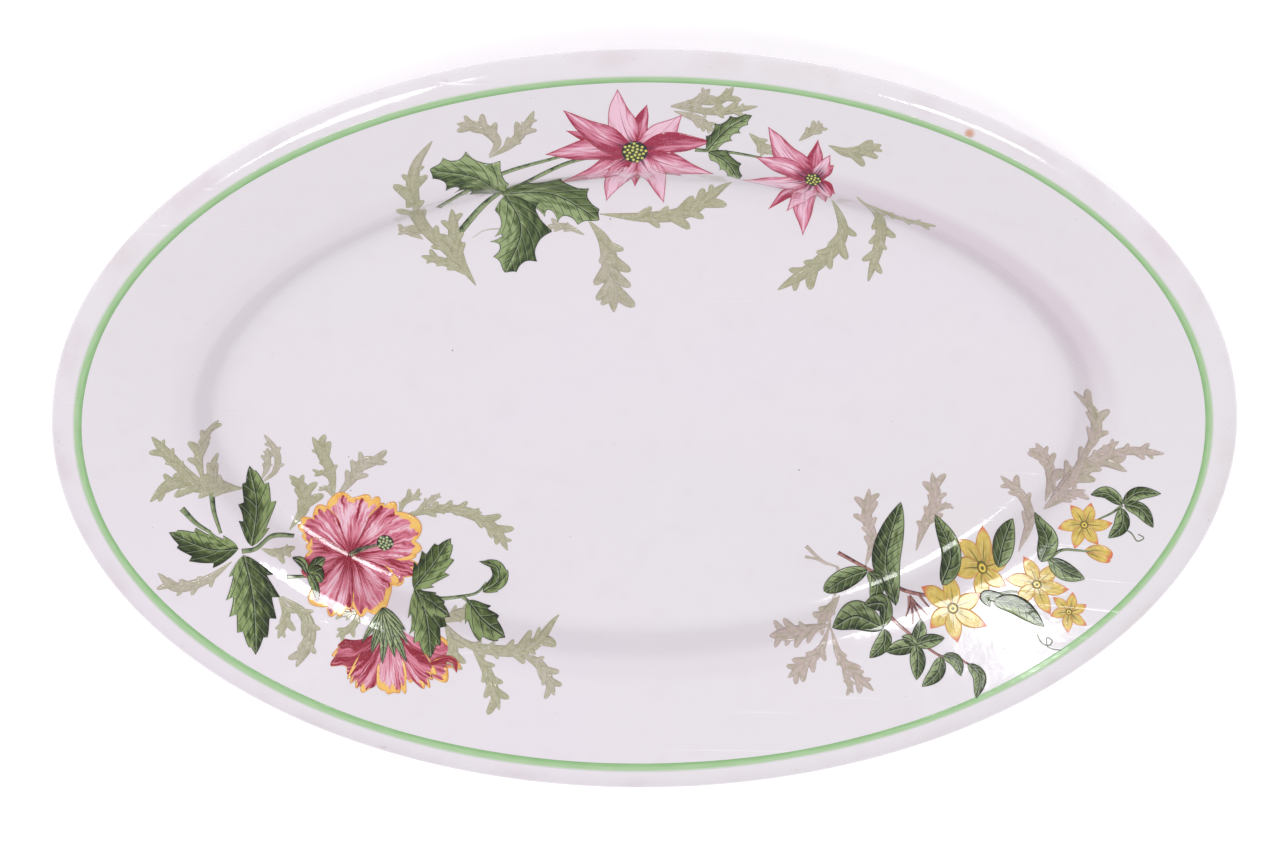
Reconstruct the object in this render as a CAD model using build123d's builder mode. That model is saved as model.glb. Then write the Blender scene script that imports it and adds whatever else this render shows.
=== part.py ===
"""Oval serving platter in vitrified hotel china: body, glaze, hand-lined band and nine fired colour films.

The frame's origin is the centre of the foot's standing plane, +Z is up and +X runs along the long axis.
Every level of the ware is a parallel curve of the rim's ellipse, so one section swept round the rim makes
the roll, the rim, the well's wall, the back and the foot, and a flat slab closes the floor of the well.
"""

import os
from math import cos, radians, sin, tan

from build123d import *

# Plan
HALF_LENGTH = 146.0
HALF_WIDTH = 101.5
# The face, from the floor of the well out to the rim's nose
FLOOR_Z = 10.2
FLOOR_CURVE_R = 12.0
FLOOR_CURVE_ANGLE = 22.0
WELL_CURVE_R = 6.0
WALL_ANGLE = 54.0
WALL_RUN = 2.8
SHOULDER_R = 5.5
VERGE_R = 30.0
VERGE_ANGLE = 23.0
VERGE_INSET = 29.5
RIM_ANGLE = 16.0
# The rolled edge: a broad crown, then a tighter nose and underside
CROWN_R = 7.5
CROWN_FALL = 28.0
NOSE_R = 2.2
# The back and the foot
RIM_THICKNESS = 5.6
BACK_START_INSET = 12.0
BACK_END_INSET = 31.0
FOOT_OUTER_INSET = 44.6
FOOT_WIDTH = 5.2
FOOT_SIDE_ANGLE = 74.0
FOOT_SHOULDER_Z = 4.6
FOOT_EDGE_R = 1.0
# The foot is fired a little long and ground flat
FOOT_GRIND = 0.1
BASE_Z = 3.4
BASE_FILLET_R = 2.2
# The swept section stops at the first inset, on the flat floor, and the slab laps under it to the second
FLOOR_CUT_INSET = 60.0
SLAB_INSET = 57.0
# Fired coats
GLAZE = 0.4
DRY_FOOT = 0.7
FILM = 0.2
LINE_INSET = 6.9
LINE_WIDTH = 1.9
# The colour films lie on the face, inside the green line
PRINT_INSET = 8.6
BRACT_SPREAD = 0.42
STAR_PETALS = 5
STAR_SPREAD = 0.62
STEM_WIDTH = 1.2
FROND_WIDTH = 3.0
# Taller than anything here, for tools that cut right through
TALL = 60.0

ALONG_RIM = -cos(radians(RIM_ANGLE)), -sin(radians(RIM_ANGLE))
DOWN_FOOT = -cos(radians(FOOT_SIDE_ANGLE)), -sin(radians(FOOT_SIDE_ANGLE))
CUT_X = HALF_LENGTH - FLOOR_CUT_INSET


def floor_edge_x():
    """Where the flat floor ends and the well starts to curve up, at the +X end."""
    verge = VERGE_R * (sin(radians(VERGE_ANGLE)) - sin(radians(RIM_ANGLE)))
    shoulder = SHOULDER_R * (sin(radians(WALL_ANGLE)) - sin(radians(VERGE_ANGLE)))
    well = WELL_CURVE_R * (sin(radians(WALL_ANGLE)) - sin(radians(FLOOR_CURVE_ANGLE)))
    floor_curve = FLOOR_CURVE_R * sin(radians(FLOOR_CURVE_ANGLE))
    return HALF_LENGTH - VERGE_INSET - verge - shoulder - WALL_RUN - well - floor_curve


def verge_z():
    """Height of the face where the well's wall has turned into the rim."""
    floor_curve = FLOOR_CURVE_R * (1 - cos(radians(FLOOR_CURVE_ANGLE)))
    well = WELL_CURVE_R * (cos(radians(FLOOR_CURVE_ANGLE)) - cos(radians(WALL_ANGLE)))
    wall = WALL_RUN * tan(radians(WALL_ANGLE))
    shoulder = SHOULDER_R * (cos(radians(VERGE_ANGLE)) - cos(radians(WALL_ANGLE)))
    verge = VERGE_R * (cos(radians(RIM_ANGLE)) - cos(radians(VERGE_ANGLE)))
    return FLOOR_Z + floor_curve + well + wall + shoulder + verge


def crown_start_x():
    """Where the straight rim meets the crown of the rolled edge, at the +X end."""
    crown = CROWN_R * (sin(radians(RIM_ANGLE)) + sin(radians(CROWN_FALL)))
    return HALF_LENGTH - NOSE_R * (1 - sin(radians(CROWN_FALL))) - crown


def face_line(inner_x):
    """The face from inner_x on the floor to the underside of the rolled edge; returns its rim and nose."""
    floor = Line((inner_x, FLOOR_Z), (floor_edge_x(), FLOOR_Z))
    floor_curve = JernArc(floor @ 1, floor % 1, FLOOR_CURVE_R, FLOOR_CURVE_ANGLE)
    well = JernArc(floor_curve @ 1, floor_curve % 1, WELL_CURVE_R, WALL_ANGLE - FLOOR_CURVE_ANGLE)
    wall = PolarLine(well @ 1, WALL_RUN / cos(radians(WALL_ANGLE)), WALL_ANGLE)
    shoulder = JernArc(wall @ 1, wall % 1, SHOULDER_R, VERGE_ANGLE - WALL_ANGLE)
    verge = JernArc(shoulder @ 1, shoulder % 1, VERGE_R, RIM_ANGLE - VERGE_ANGLE)
    rim_run = crown_start_x() - (HALF_LENGTH - VERGE_INSET)
    rim = PolarLine(verge @ 1, rim_run / cos(radians(RIM_ANGLE)), RIM_ANGLE)
    crown = JernArc(rim @ 1, rim % 1, CROWN_R, -RIM_ANGLE - CROWN_FALL)
    nose = JernArc(crown @ 1, crown % 1, NOSE_R, CROWN_FALL - 180)
    return rim, nose


def back_line(rim, nose, inner_x):
    """The back, from the underside of the rolled edge, round the foot and up the cut at inner_x."""
    start_x = HALF_LENGTH - BACK_START_INSET
    start_z = (rim @ 1).Y - (crown_start_x() - start_x) * tan(radians(RIM_ANGLE)) - RIM_THICKNESS
    end_x = HALF_LENGTH - BACK_END_INSET
    end_z = start_z - (start_x - end_x) * tan(radians(RIM_ANGLE))
    outer_foot_x = HALF_LENGTH - FOOT_OUTER_INSET
    inner_foot_x = outer_foot_x - FOOT_WIDTH
    shoulder_x = outer_foot_x + (FOOT_SHOULDER_Z + FOOT_GRIND) / tan(radians(FOOT_SIDE_ANGLE))
    base_edge_x = inner_foot_x - (BASE_Z + FOOT_GRIND) / tan(radians(FOOT_SIDE_ANGLE))
    Spline(nose @ 1, (start_x, start_z), tangents=(nose % 1, ALONG_RIM))
    Line((start_x, start_z), (end_x, end_z))
    Spline((end_x, end_z), (shoulder_x, FOOT_SHOULDER_Z), tangents=(ALONG_RIM, DOWN_FOOT))
    Polyline(
        (shoulder_x, FOOT_SHOULDER_Z),
        (outer_foot_x, -FOOT_GRIND),
        (inner_foot_x, -FOOT_GRIND),
        (base_edge_x, BASE_Z),
        (inner_x, BASE_Z),
        (inner_x, FLOOR_Z),
    )


def ware_section(inner_x):
    """The whole ware's section at the +X end, in the XZ plane, running in to inner_x."""
    with BuildSketch(Plane.XZ) as section:
        with BuildLine():
            rim, nose = face_line(inner_x)
            back_line(rim, nose, inner_x)
        make_face()
        fillet(section.vertices().group_by(Axis.Y)[0], FOOT_EDGE_R)
        base_corners = section.vertices().group_by(Axis.Y)[2].filter_by(lambda v: v.X > inner_x + 1)
        fillet(base_corners, BASE_FILLET_R)
    return section.sketch


def offset_section(amount):
    """The ware's section grown all round, or shrunk by a negative amount, running in to the cut."""
    with BuildSketch(Plane.XZ) as section:
        add(ware_section(CUT_X - FOOT_WIDTH))
        offset(amount=amount)
        with Locations((CUT_X, 0)):
            Rectangle(TALL * 2, TALL * 2, align=(Align.MIN, Align.CENTER), mode=Mode.INTERSECT)
    return section.sketch


def face_layer(outer, inner, outer_x):
    """A layer of the face's section, between two offset sections, from the cut out to a distance along X."""
    rim_middle = verge_z() - RIM_THICKNESS / 2
    rise = VERGE_INSET * tan(radians(RIM_ANGLE))
    with BuildSketch(Plane.XZ) as section:
        add(outer)
        add(inner, mode=Mode.SUBTRACT)
        with BuildLine():
            Polyline(
                (CUT_X, (BASE_Z + FLOOR_Z) / 2),
                (floor_edge_x(), (BASE_Z + FLOOR_Z) / 2),
                (HALF_LENGTH - VERGE_INSET, rim_middle),
                (HALF_LENGTH, rim_middle + rise),
                (HALF_LENGTH, TALL),
                (CUT_X, TALL),
                close=True,
            )
        make_face(mode=Mode.INTERSECT)
        with Locations((outer_x, 0)):
            Rectangle(TALL * 2, TALL, align=(Align.MAX, Align.MIN), mode=Mode.INTERSECT)
    return section.sketch


def body_section():
    """The clay's section: the ware less its glaze, but the full section at the dry foot."""
    with BuildSketch(Plane.XZ) as section:
        add(ware_section(CUT_X))
        with Locations((CUT_X, DRY_FOOT)):
            Rectangle(TALL * 2, TALL, align=(Align.MIN, Align.MAX), mode=Mode.INTERSECT)
        add(offset_section(-GLAZE))
    return section.sketch


def line_section():
    """The green line's section: an inlay in the glaze of the rim, flush with it."""
    middle_x = HALF_LENGTH - LINE_INSET
    with BuildSketch(Plane.XZ) as section:
        add(face_layer(ware_section(CUT_X), offset_section(-FILM), middle_x + LINE_WIDTH / 2))
        with Locations((middle_x, TALL / 2)):
            Rectangle(LINE_WIDTH, TALL, mode=Mode.INTERSECT)
    return section.sketch


def print_section():
    """The layer on top of the glaze that the colour films are cut from."""
    return face_layer(offset_section(FILM), ware_section(CUT_X), HALF_LENGTH - PRINT_INSET)


def coat_sections():
    """The glaze's section, less the green line: first the base inside the foot, then the face and back."""
    with BuildSketch(Plane.XZ) as section:
        add(ware_section(CUT_X))
        add(body_section(), mode=Mode.SUBTRACT)
        add(line_section(), mode=Mode.SUBTRACT)
    return section.sketch.faces().sort_by(SortBy.AREA)


def swept(section):
    """One turn of a section round the rim's ellipse."""
    with BuildLine(Plane.XY) as rim_path:
        EllipticalCenterArc((0, 0), HALF_LENGTH, HALF_WIDTH, arc_size=360)
    with BuildPart() as turn:
        sweep(sections=section, path=rim_path.wires()[0])
    return turn.part


def floor_slab(low, high):
    """The flat middle of a layer between two heights, lapping under the swept section."""
    with BuildPart() as slab:
        with BuildSketch(Plane.XY.offset(low)):
            Ellipse(HALF_LENGTH, HALF_WIDTH)
            offset(amount=-SLAB_INSET, mode=Mode.REPLACE)
        extrude(amount=high - low)
    return slab.part


# The outlines of the colour films, drawn on the XY plane of the builder sketch that calls them


def blade(base, tip, width, bow=0.0):
    """A pointed leaf, bract or frond: two arcs from base to tip, the middle moved left by the bow."""
    along = Vector(*tip) - Vector(*base)
    left = along.rotate(Axis.Z, 90).normalized()
    middle = Vector(*base) + along / 2 + left * bow
    with BuildLine() as sides:
        ThreePointArc(base, middle + left * (width / 2), tip)
        ThreePointArc(tip, middle - left * (width / 2), base)
    make_face(sides.edges())


def stem(*points):
    """A stem or tendril of even width through the points."""
    with BuildLine() as path:
        Spline(*points)
    trace(path.line, line_width=STEM_WIDTH)


def bracts(middle, tips):
    """A ring of pointed bracts from the middle of a bloom to their tips."""
    for tip in tips:
        length = (Vector(*tip) - Vector(*middle)).length
        blade(middle, tip, length * BRACT_SPREAD)


def round_petal(base, angle, length, width):
    """An oval petal that starts at base and points along the angle."""
    with Locations(Location((*base, 0), angle)):
        with Locations((length / 2, 0)):
            Ellipse(length / 2, width / 2)


def star_bloom(middle_x, middle_y, radius):
    """A small trumpet flower: pointed petals round a disc."""
    with Locations((middle_x, middle_y)):
        Circle(radius * STAR_SPREAD / 2)
    for petal in range(STAR_PETALS):
        angle = radians(360 * petal / STAR_PETALS + 90)
        tip = (middle_x + radius * cos(angle), middle_y + radius * sin(angle))
        blade((middle_x, middle_y), tip, radius * STAR_SPREAD)


def top_bloom_outline():
    """Two poinsettia-like blooms seen from the front."""
    with BuildSketch() as outline:
        bracts(
            (-2, 73.5),
            (
                (-6, 91), (1, 88), (10, 85), (16.5, 77), (17, 67), (9, 64), (5, 55.5),
                (-2, 60), (-9, 56), (-20, 62), (-24, 73), (-19, 86),
            ),
        )
        bracts(
            (41, 65.5),
            ((30, 81), (42, 77), (46, 70), (46, 59), (39, 47), (35, 53), (30, 54), (24, 64), (27, 72)),
        )
    return outline.sketch


def top_leaf_outline():
    """The top spray's leaves and stems."""
    with BuildSketch() as outline:
        blade((-33, 67.5), (-51, 69.5), 9)
        blade((-34, 59), (-11, 51), 9)
        blade((-34, 57.5), (-34, 37), 10)
        blade((15.5, 74), (26, 84), 7)
        blade((15.5, 73), (24, 65), 6, 1)
        stem((-45.5, 46.5), (-24, 63), (-7, 73))
        stem((-50, 57), (-34, 62), (-18, 72.5))
        stem((12.5, 74), (27.5, 72))
    return outline.sketch


def top_scroll_outline():
    """The top spray's scroll fronds."""
    with BuildSketch() as outline:
        blade((-42, 33), (-50, 77), FROND_WIDTH, 5)
        blade((-49, 47), (-59, 50), FROND_WIDTH, -3)
        blade((-33, 72), (-43.5, 84), FROND_WIDTH, -3)
        blade((-33, 72), (-25.5, 86), FROND_WIDTH, 3)
        blade((-12, 52.5), (21, 62), FROND_WIDTH, -5)
        blade((-13, 50.5), (-7.5, 26), FROND_WIDTH, 3)
        blade((-14.5, 46), (-42, 46), FROND_WIDTH, 5)
        blade((6.5, 87), (27.5, 87), FROND_WIDTH, 4)
        blade((38, 78.5), (42.5, 82), FROND_WIDTH, 2.5)
        blade((45, 75), (57, 76), FROND_WIDTH, 3)
        blade((46, 58), (33, 31.5), FROND_WIDTH, -4)
        blade((51.5, 61), (55, 34), FROND_WIDTH, 5)
        blade((59, 56), (70.5, 53), FROND_WIDTH, -3)
    return outline.sketch


def left_bloom_outline():
    """A hibiscus-like bloom seen from the front, one seen from the side and a bud."""
    throat = (-74, -41)
    calyx = (-66, -57)
    with BuildSketch() as outline:
        round_petal(throat, 15, 19, 15)
        round_petal(throat, 85, 17, 15)
        round_petal(throat, 150, 12, 12)
        round_petal(throat, 220, 12, 13)
        round_petal(throat, 290, 14, 14)
        round_petal(calyx, 225, 18, 11)
        round_petal(calyx, 268, 20, 13)
        round_petal(calyx, 310, 23, 11)
        blade((-83.5, -54), (-83.5, -44), 5)
    return outline.sketch


def left_leaf_outline():
    """The lower left spray's leaves and stems."""
    with BuildSketch() as outline:
        blade((-98, -34), (-99, -16), 8)
        blade((-102, -33.5), (-118, -28), 8)
        blade((-101, -35), (-98.5, -61), 11)
        blade((-58.5, -50.5), (-49, -38), 7)
        blade((-58.5, -50.5), (-54.5, -65), 6)
        blade((-41.5, -44), (-42, -53), 4)
        blade((-46, -53), (-35.5, -61), 5)
        stem((-94, -32.5), (-88, -35))
        stem((-68, -51), (-66, -57))
        stem((-115, -22), (-110, -28.5))
        stem((-58, -51), (-46, -53), (-41, -51))
    return outline.sketch


def left_scroll_outline():
    """The lower left spray's scroll fronds."""
    with BuildSketch() as outline:
        blade((-122, -3), (-113.5, -13.5), FROND_WIDTH, 2.5)
        blade((-106, -2.5), (-110.5, -14), FROND_WIDTH, -2.5)
        blade((-123, -18.5), (-101, -20.5), FROND_WIDTH, 3)
        blade((-94, -8), (-96, -20.5), FROND_WIDTH, 3)
        blade((-121.5, -38.5), (-104, -38), FROND_WIDTH, -3)
        blade((-92, -47), (-87, -65), FROND_WIDTH, -3)
        blade((-88, -19.5), (-87, -33), FROND_WIDTH, 3)
        blade((-82.5, -9), (-78, -25), FROND_WIDTH, -3)
        blade((-65, -14.5), (-76.5, -25), FROND_WIDTH, -3)
        blade((-63, -25.5), (-35, -40), FROND_WIDTH, 5)
        blade((-51, -57), (-22, -59), FROND_WIDTH, 3)
        blade((-46, -58), (-48.5, -68), FROND_WIDTH, -2.5)
        blade((-38, -59), (-37, -79), FROND_WIDTH, -4)
        blade((-28, -60), (-23.5, -75.5), FROND_WIDTH, -3)
    return outline.sketch


def right_bloom_outline():
    """Five small yellow trumpet flowers and a bud."""
    with BuildSketch() as outline:
        for bloom in ((110, -28, 6), (84.5, -41.5, 7.5), (98, -44.5, 7), (77.5, -52, 9), (106.5, -51, 4.5)):
            star_bloom(*bloom)
        blade((112.5, -37), (113, -32), 3)
    return outline.sketch


def right_leaf_outline():
    """The lower right spray's leaves and stems."""
    with BuildSketch() as outline:
        blade((63, -52), (64, -28), 7)
        blade((76, -45), (73, -32), 4)
        blade((89, -38), (92, -30.5), 3.5)
        blade((98.5, -37.5), (97.5, -28), 3.5)
        blade((118.5, -22), (111.5, -20), 3.5)
        blade((119, -22), (127.5, -17.5), 4)
        blade((119, -22.5), (126, -27), 4)
        blade((118.5, -23), (116, -31.5), 4)
        blade((55.5, -47.5), (45.5, -52.5), 4.5)
        blade((59.5, -56), (47.5, -58.5), 4)
        blade((59.5, -58.5), (56.5, -65), 3.5)
        blade((68, -62.5), (60.5, -64), 3.5)
        blade((68.5, -62), (75, -60.5), 3.5)
        blade((68, -63), (68, -70.5), 4)
        blade((73.5, -65), (70, -72), 3)
        blade((74.5, -65), (79, -69), 3)
        blade((81, -65.5), (83, -74), 3.5)
        stem((49, -42), (57, -48.5), (64, -52))
        stem((57.5, -50.5), (66, -59), (74, -64.5), (81.5, -65.5))
    return outline.sketch


def right_scroll_outline():
    """The lower right spray's scroll fronds."""
    with BuildSketch() as outline:
        blade((56.5, -24.5), (55.5, -46), FROND_WIDTH, 3)
        blade((72, -20.5), (69.5, -40), FROND_WIDTH, 3)
        blade((40.5, -41), (50.5, -46.5), FROND_WIDTH, 3)
        blade((47, -54), (32, -62), FROND_WIDTH, -3)
        blade((42, -58), (36, -71), FROND_WIDTH, -3)
        blade((45, -60), (52, -74), FROND_WIDTH, -3)
        blade((98.5, -27), (107, 4), FROND_WIDTH, -6)
        blade((101, -22.5), (98, -11.5), FROND_WIDTH, 2.5)
        blade((94.5, -35), (89.5, -21), FROND_WIDTH, 3)
        blade((108, -16), (119, -13), FROND_WIDTH, 2.5)
        blade((109, -9), (128, -7), FROND_WIDTH, 3)
    return outline.sketch


def film(label, outline, *in_front):
    """A colour film on the face: its outline, less the films painted in front of it."""
    with BuildPart() as piece:
        add(PRINT_LAYER)
        with BuildSketch():
            add(outline)
            for other in in_front:
                add(other, mode=Mode.SUBTRACT)
        extrude(amount=TALL, mode=Mode.INTERSECT)
    piece.part.label = label
    export_step(piece.part, f"parts/{label}.step")


os.makedirs("parts", exist_ok=True)

with BuildPart() as china_body:
    add(swept(body_section()))
    add(floor_slab(BASE_Z + GLAZE, FLOOR_Z - GLAZE))
    split(bisect_by=Plane.XY, keep=Keep.TOP)
china_body.part.label = "china_body"
export_step(china_body.part, "parts/china_body.step")

with BuildPart() as base_glaze:
    add(swept(coat_sections()[0]))
    add(floor_slab(BASE_Z, BASE_Z + GLAZE))
base_glaze.part.label = "base_glaze"
export_step(base_glaze.part, "parts/base_glaze.step")

with BuildPart() as green_line:
    add(swept(line_section()))
green_line.part.label = "green_line"
export_step(green_line.part, "parts/green_line.step")

with BuildPart() as face_glaze:
    add(swept(coat_sections()[-1]))
    add(floor_slab(FLOOR_Z - GLAZE, FLOOR_Z))
face_glaze.part.label = "face_glaze"
export_step(face_glaze.part, "parts/face_glaze.step")

PRINT_LAYER = swept(print_section()) + floor_slab(FLOOR_Z, FLOOR_Z + FILM)

for side, blooms, leaves, scrolls in (
    ("top", top_bloom_outline(), top_leaf_outline(), top_scroll_outline()),
    ("left", left_bloom_outline(), left_leaf_outline(), left_scroll_outline()),
    ("right", right_bloom_outline(), right_leaf_outline(), right_scroll_outline()),
):
    film(f"{side}_blooms", blooms)
    film(f"{side}_leaves", leaves, blooms)
    film(f"{side}_scrolls", scrolls, blooms, leaves)
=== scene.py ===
"""China serving platter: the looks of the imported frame.

Oval hotel ware with a rolled edge, a hand-lined green band and three painted flower sprays. Lengths are in
millimetres in the drawing and are turned into metres of the row frame by MM when a mesh is made.
"""

import math
import random
from types import SimpleNamespace

import bpy
import numpy as np
from mathutils import Matrix, Vector


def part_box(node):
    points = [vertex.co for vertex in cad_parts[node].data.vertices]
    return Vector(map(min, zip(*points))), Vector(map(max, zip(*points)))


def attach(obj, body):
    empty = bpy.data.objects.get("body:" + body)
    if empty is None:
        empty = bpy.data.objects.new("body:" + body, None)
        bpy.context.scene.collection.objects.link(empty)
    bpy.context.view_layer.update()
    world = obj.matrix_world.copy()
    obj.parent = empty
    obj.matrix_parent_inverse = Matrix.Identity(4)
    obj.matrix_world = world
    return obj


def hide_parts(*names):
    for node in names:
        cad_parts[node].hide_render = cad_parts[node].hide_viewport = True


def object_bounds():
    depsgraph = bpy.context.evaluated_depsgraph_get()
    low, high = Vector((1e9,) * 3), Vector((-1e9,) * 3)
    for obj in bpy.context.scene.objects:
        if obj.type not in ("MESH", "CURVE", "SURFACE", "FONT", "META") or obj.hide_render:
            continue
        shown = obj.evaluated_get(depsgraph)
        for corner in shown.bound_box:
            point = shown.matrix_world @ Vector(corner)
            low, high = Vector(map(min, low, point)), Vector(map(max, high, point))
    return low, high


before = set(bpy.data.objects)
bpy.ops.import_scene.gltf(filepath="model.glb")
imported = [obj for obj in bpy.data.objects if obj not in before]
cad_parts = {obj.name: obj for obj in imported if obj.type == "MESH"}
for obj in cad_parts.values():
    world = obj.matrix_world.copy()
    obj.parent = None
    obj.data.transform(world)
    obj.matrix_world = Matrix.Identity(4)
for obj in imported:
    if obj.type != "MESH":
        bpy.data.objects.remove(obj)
CAD_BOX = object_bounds()
SEED = 11
random.seed(SEED)

MM = 0.001
HALF_LENGTH = (CAD_BOX[1][0] - CAD_BOX[0][0]) / 2 / MM
HALF_WIDTH = (CAD_BOX[1][1] - CAD_BOX[0][1]) / 2 / MM
LINE_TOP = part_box("green_line")[1][2] / MM

# The section of the ware at the +X end, in millimetres and degrees. Insets are in from the rim's ellipse.
FLOOR_Z = 10.2
CUT_INSET = 60.0
VERGE_INSET = 29.5
VERGE_R = 30.0
VERGE_ANGLE = 23.0
SHOULDER_R = 5.5
WALL_ANGLE = 54.0
WALL_RUN = 2.8
WELL_R = 6.0
FLOOR_CURVE_R = 12.0
FLOOR_CURVE_ANGLE = 22.0
RIM_ANGLE = 16.0
CROWN_R = 7.5
CROWN_FALL = 28.0
NOSE_R = 2.2
RIM_THICKNESS = 5.6
BACK_START_INSET = 12.0
BACK_END_INSET = 31.0
FOOT_INSET = 44.6
FOOT_WIDTH = 5.2
FOOT_ANGLE = 74.0
FOOT_SHOULDER_Z = 4.6
FOOT_EDGE_R = 1.0
BASE_Z = 3.4
BASE_FILLET_R = 2.2
LINE_INSET = 6.9

# How finely the meshes are cut
AROUND = 640
FLOOR_RINGS = 10
SECTION_STEP = 0.5
NEWTON_STEPS = 12
NEWTON_REACH = 0.3

# The colour films, which lie a hair over the glaze
FILM_LIFT = 0.03
FILM_THICKNESS = 0.05


def sin_deg(angle):
    return math.sin(math.radians(angle))


def cos_deg(angle):
    return math.cos(math.radians(angle))


def tan_deg(angle):
    return math.tan(math.radians(angle))


# Meshes


class Walk:
    """A section drawn by walking along it; headings are in degrees from +X towards +Z."""

    def __init__(self, x, z, heading):
        self.points = [(x, z)]
        self.heading = heading

    def straight(self, length):
        x, z = self.points[-1]
        steps = max(1, math.ceil(length / SECTION_STEP))
        for step in range(1, steps + 1):
            run = length * step / steps
            self.points.append((x + run * cos_deg(self.heading), z + run * sin_deg(self.heading)))

    def arc(self, radius, turn):
        x, z = self.points[-1]
        side = math.copysign(90, turn)
        middle_x = x + radius * cos_deg(self.heading + side)
        middle_z = z + radius * sin_deg(self.heading + side)
        steps = max(4, math.ceil(radius * math.radians(abs(turn)) / SECTION_STEP))
        for step in range(1, steps + 1):
            angle = self.heading - side + turn * step / steps
            self.points.append((middle_x + radius * cos_deg(angle), middle_z + radius * sin_deg(angle)))
        self.heading += turn

    def bend_to(self, x, z, heading):
        """A smooth cubic (Hermite) to a point, arriving on a heading."""
        start = np.array(self.points[-1])
        end = np.array((x, z))
        span = np.linalg.norm(end - start)
        leave = span * np.array((cos_deg(self.heading), sin_deg(self.heading)))
        arrive = span * np.array((cos_deg(heading), sin_deg(heading)))
        steps = math.ceil(span / SECTION_STEP)
        for step in range(1, steps + 1):
            t = step / steps
            point = (2 * t**3 - 3 * t**2 + 1) * start + (t**3 - 2 * t**2 + t) * leave
            point = point + (3 * t**2 - 2 * t**3) * end + (t**3 - t**2) * arrive
            self.points.append(tuple(point))
        self.heading = heading


def walk_face():
    """The face of the ware, from a ring on the flat floor to the start of the rolled edge."""
    verge = VERGE_R * (sin_deg(VERGE_ANGLE) - sin_deg(RIM_ANGLE))
    shoulder = SHOULDER_R * (sin_deg(WALL_ANGLE) - sin_deg(VERGE_ANGLE))
    well = WELL_R * (sin_deg(WALL_ANGLE) - sin_deg(FLOOR_CURVE_ANGLE))
    floor_curve = FLOOR_CURVE_R * sin_deg(FLOOR_CURVE_ANGLE)
    floor_edge = VERGE_INSET + verge + shoulder + WALL_RUN + well + floor_curve
    crown = CROWN_R * (sin_deg(RIM_ANGLE) + sin_deg(CROWN_FALL))
    crown_inset = NOSE_R * (1 - sin_deg(CROWN_FALL)) + crown
    walk = Walk(HALF_LENGTH - CUT_INSET, FLOOR_Z, 0)
    walk.straight(CUT_INSET - floor_edge)
    walk.arc(FLOOR_CURVE_R, FLOOR_CURVE_ANGLE)
    walk.arc(WELL_R, WALL_ANGLE - FLOOR_CURVE_ANGLE)
    walk.straight(WALL_RUN / cos_deg(WALL_ANGLE))
    walk.arc(SHOULDER_R, VERGE_ANGLE - WALL_ANGLE)
    walk.arc(VERGE_R, RIM_ANGLE - VERGE_ANGLE)
    walk.straight((VERGE_INSET - crown_inset) / cos_deg(RIM_ANGLE))
    return walk


def walk_ware():
    """The whole section, face to base over the rolled edge; gives its points and the dry foot's span."""
    walk = walk_face()
    rim_x, rim_z = walk.points[-1]
    walk.arc(CROWN_R, -RIM_ANGLE - CROWN_FALL)
    walk.arc(NOSE_R, CROWN_FALL - 180)
    back_x = HALF_LENGTH - BACK_START_INSET
    back_z = rim_z - (rim_x - back_x) * tan_deg(RIM_ANGLE) - RIM_THICKNESS
    walk.bend_to(back_x, back_z, -180 + RIM_ANGLE)
    walk.straight((BACK_END_INSET - BACK_START_INSET) / cos_deg(RIM_ANGLE))
    foot_x = HALF_LENGTH - FOOT_INSET
    walk.bend_to(foot_x + FOOT_SHOULDER_Z / tan_deg(FOOT_ANGLE), FOOT_SHOULDER_Z, FOOT_ANGLE - 180)
    edge_trim = FOOT_EDGE_R * tan_deg(FOOT_ANGLE / 2)
    base_trim = BASE_FILLET_R * tan_deg(FOOT_ANGLE / 2)
    walk.straight(FOOT_SHOULDER_Z / sin_deg(FOOT_ANGLE) - edge_trim)
    dry_start = len(walk.points) - 1
    walk.arc(FOOT_EDGE_R, -FOOT_ANGLE)
    walk.straight(FOOT_WIDTH - 2 * edge_trim)
    walk.arc(FOOT_EDGE_R, -FOOT_ANGLE)
    dry_end = len(walk.points) - 1
    walk.straight(BASE_Z / sin_deg(FOOT_ANGLE) - edge_trim - base_trim)
    walk.arc(BASE_FILLET_R, FOOT_ANGLE)
    walk.straight(walk.points[-1][0] - (HALF_LENGTH - CUT_INSET))
    return np.array(walk.points), dry_start, dry_end


SECTION, DRY_START, DRY_END = walk_ware()
EDGE_INDEX = SECTION[:, 0].argmax()
FACE = SECTION[:EDGE_INDEX]
TURNS = np.arange(AROUND) * 2 * np.pi / AROUND


def ring(inset, height):
    """A closed ring of points, in from the rim's ellipse by an inset that may vary round the ring."""
    out_x = HALF_WIDTH * np.cos(TURNS)
    out_y = HALF_LENGTH * np.sin(TURNS)
    norm = np.hypot(out_x, out_y)
    x = HALF_LENGTH * np.cos(TURNS) - inset * out_x / norm
    y = HALF_WIDTH * np.sin(TURNS) - inset * out_y / norm
    return np.stack([x, y, np.full(AROUND, height)], axis=1)


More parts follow.
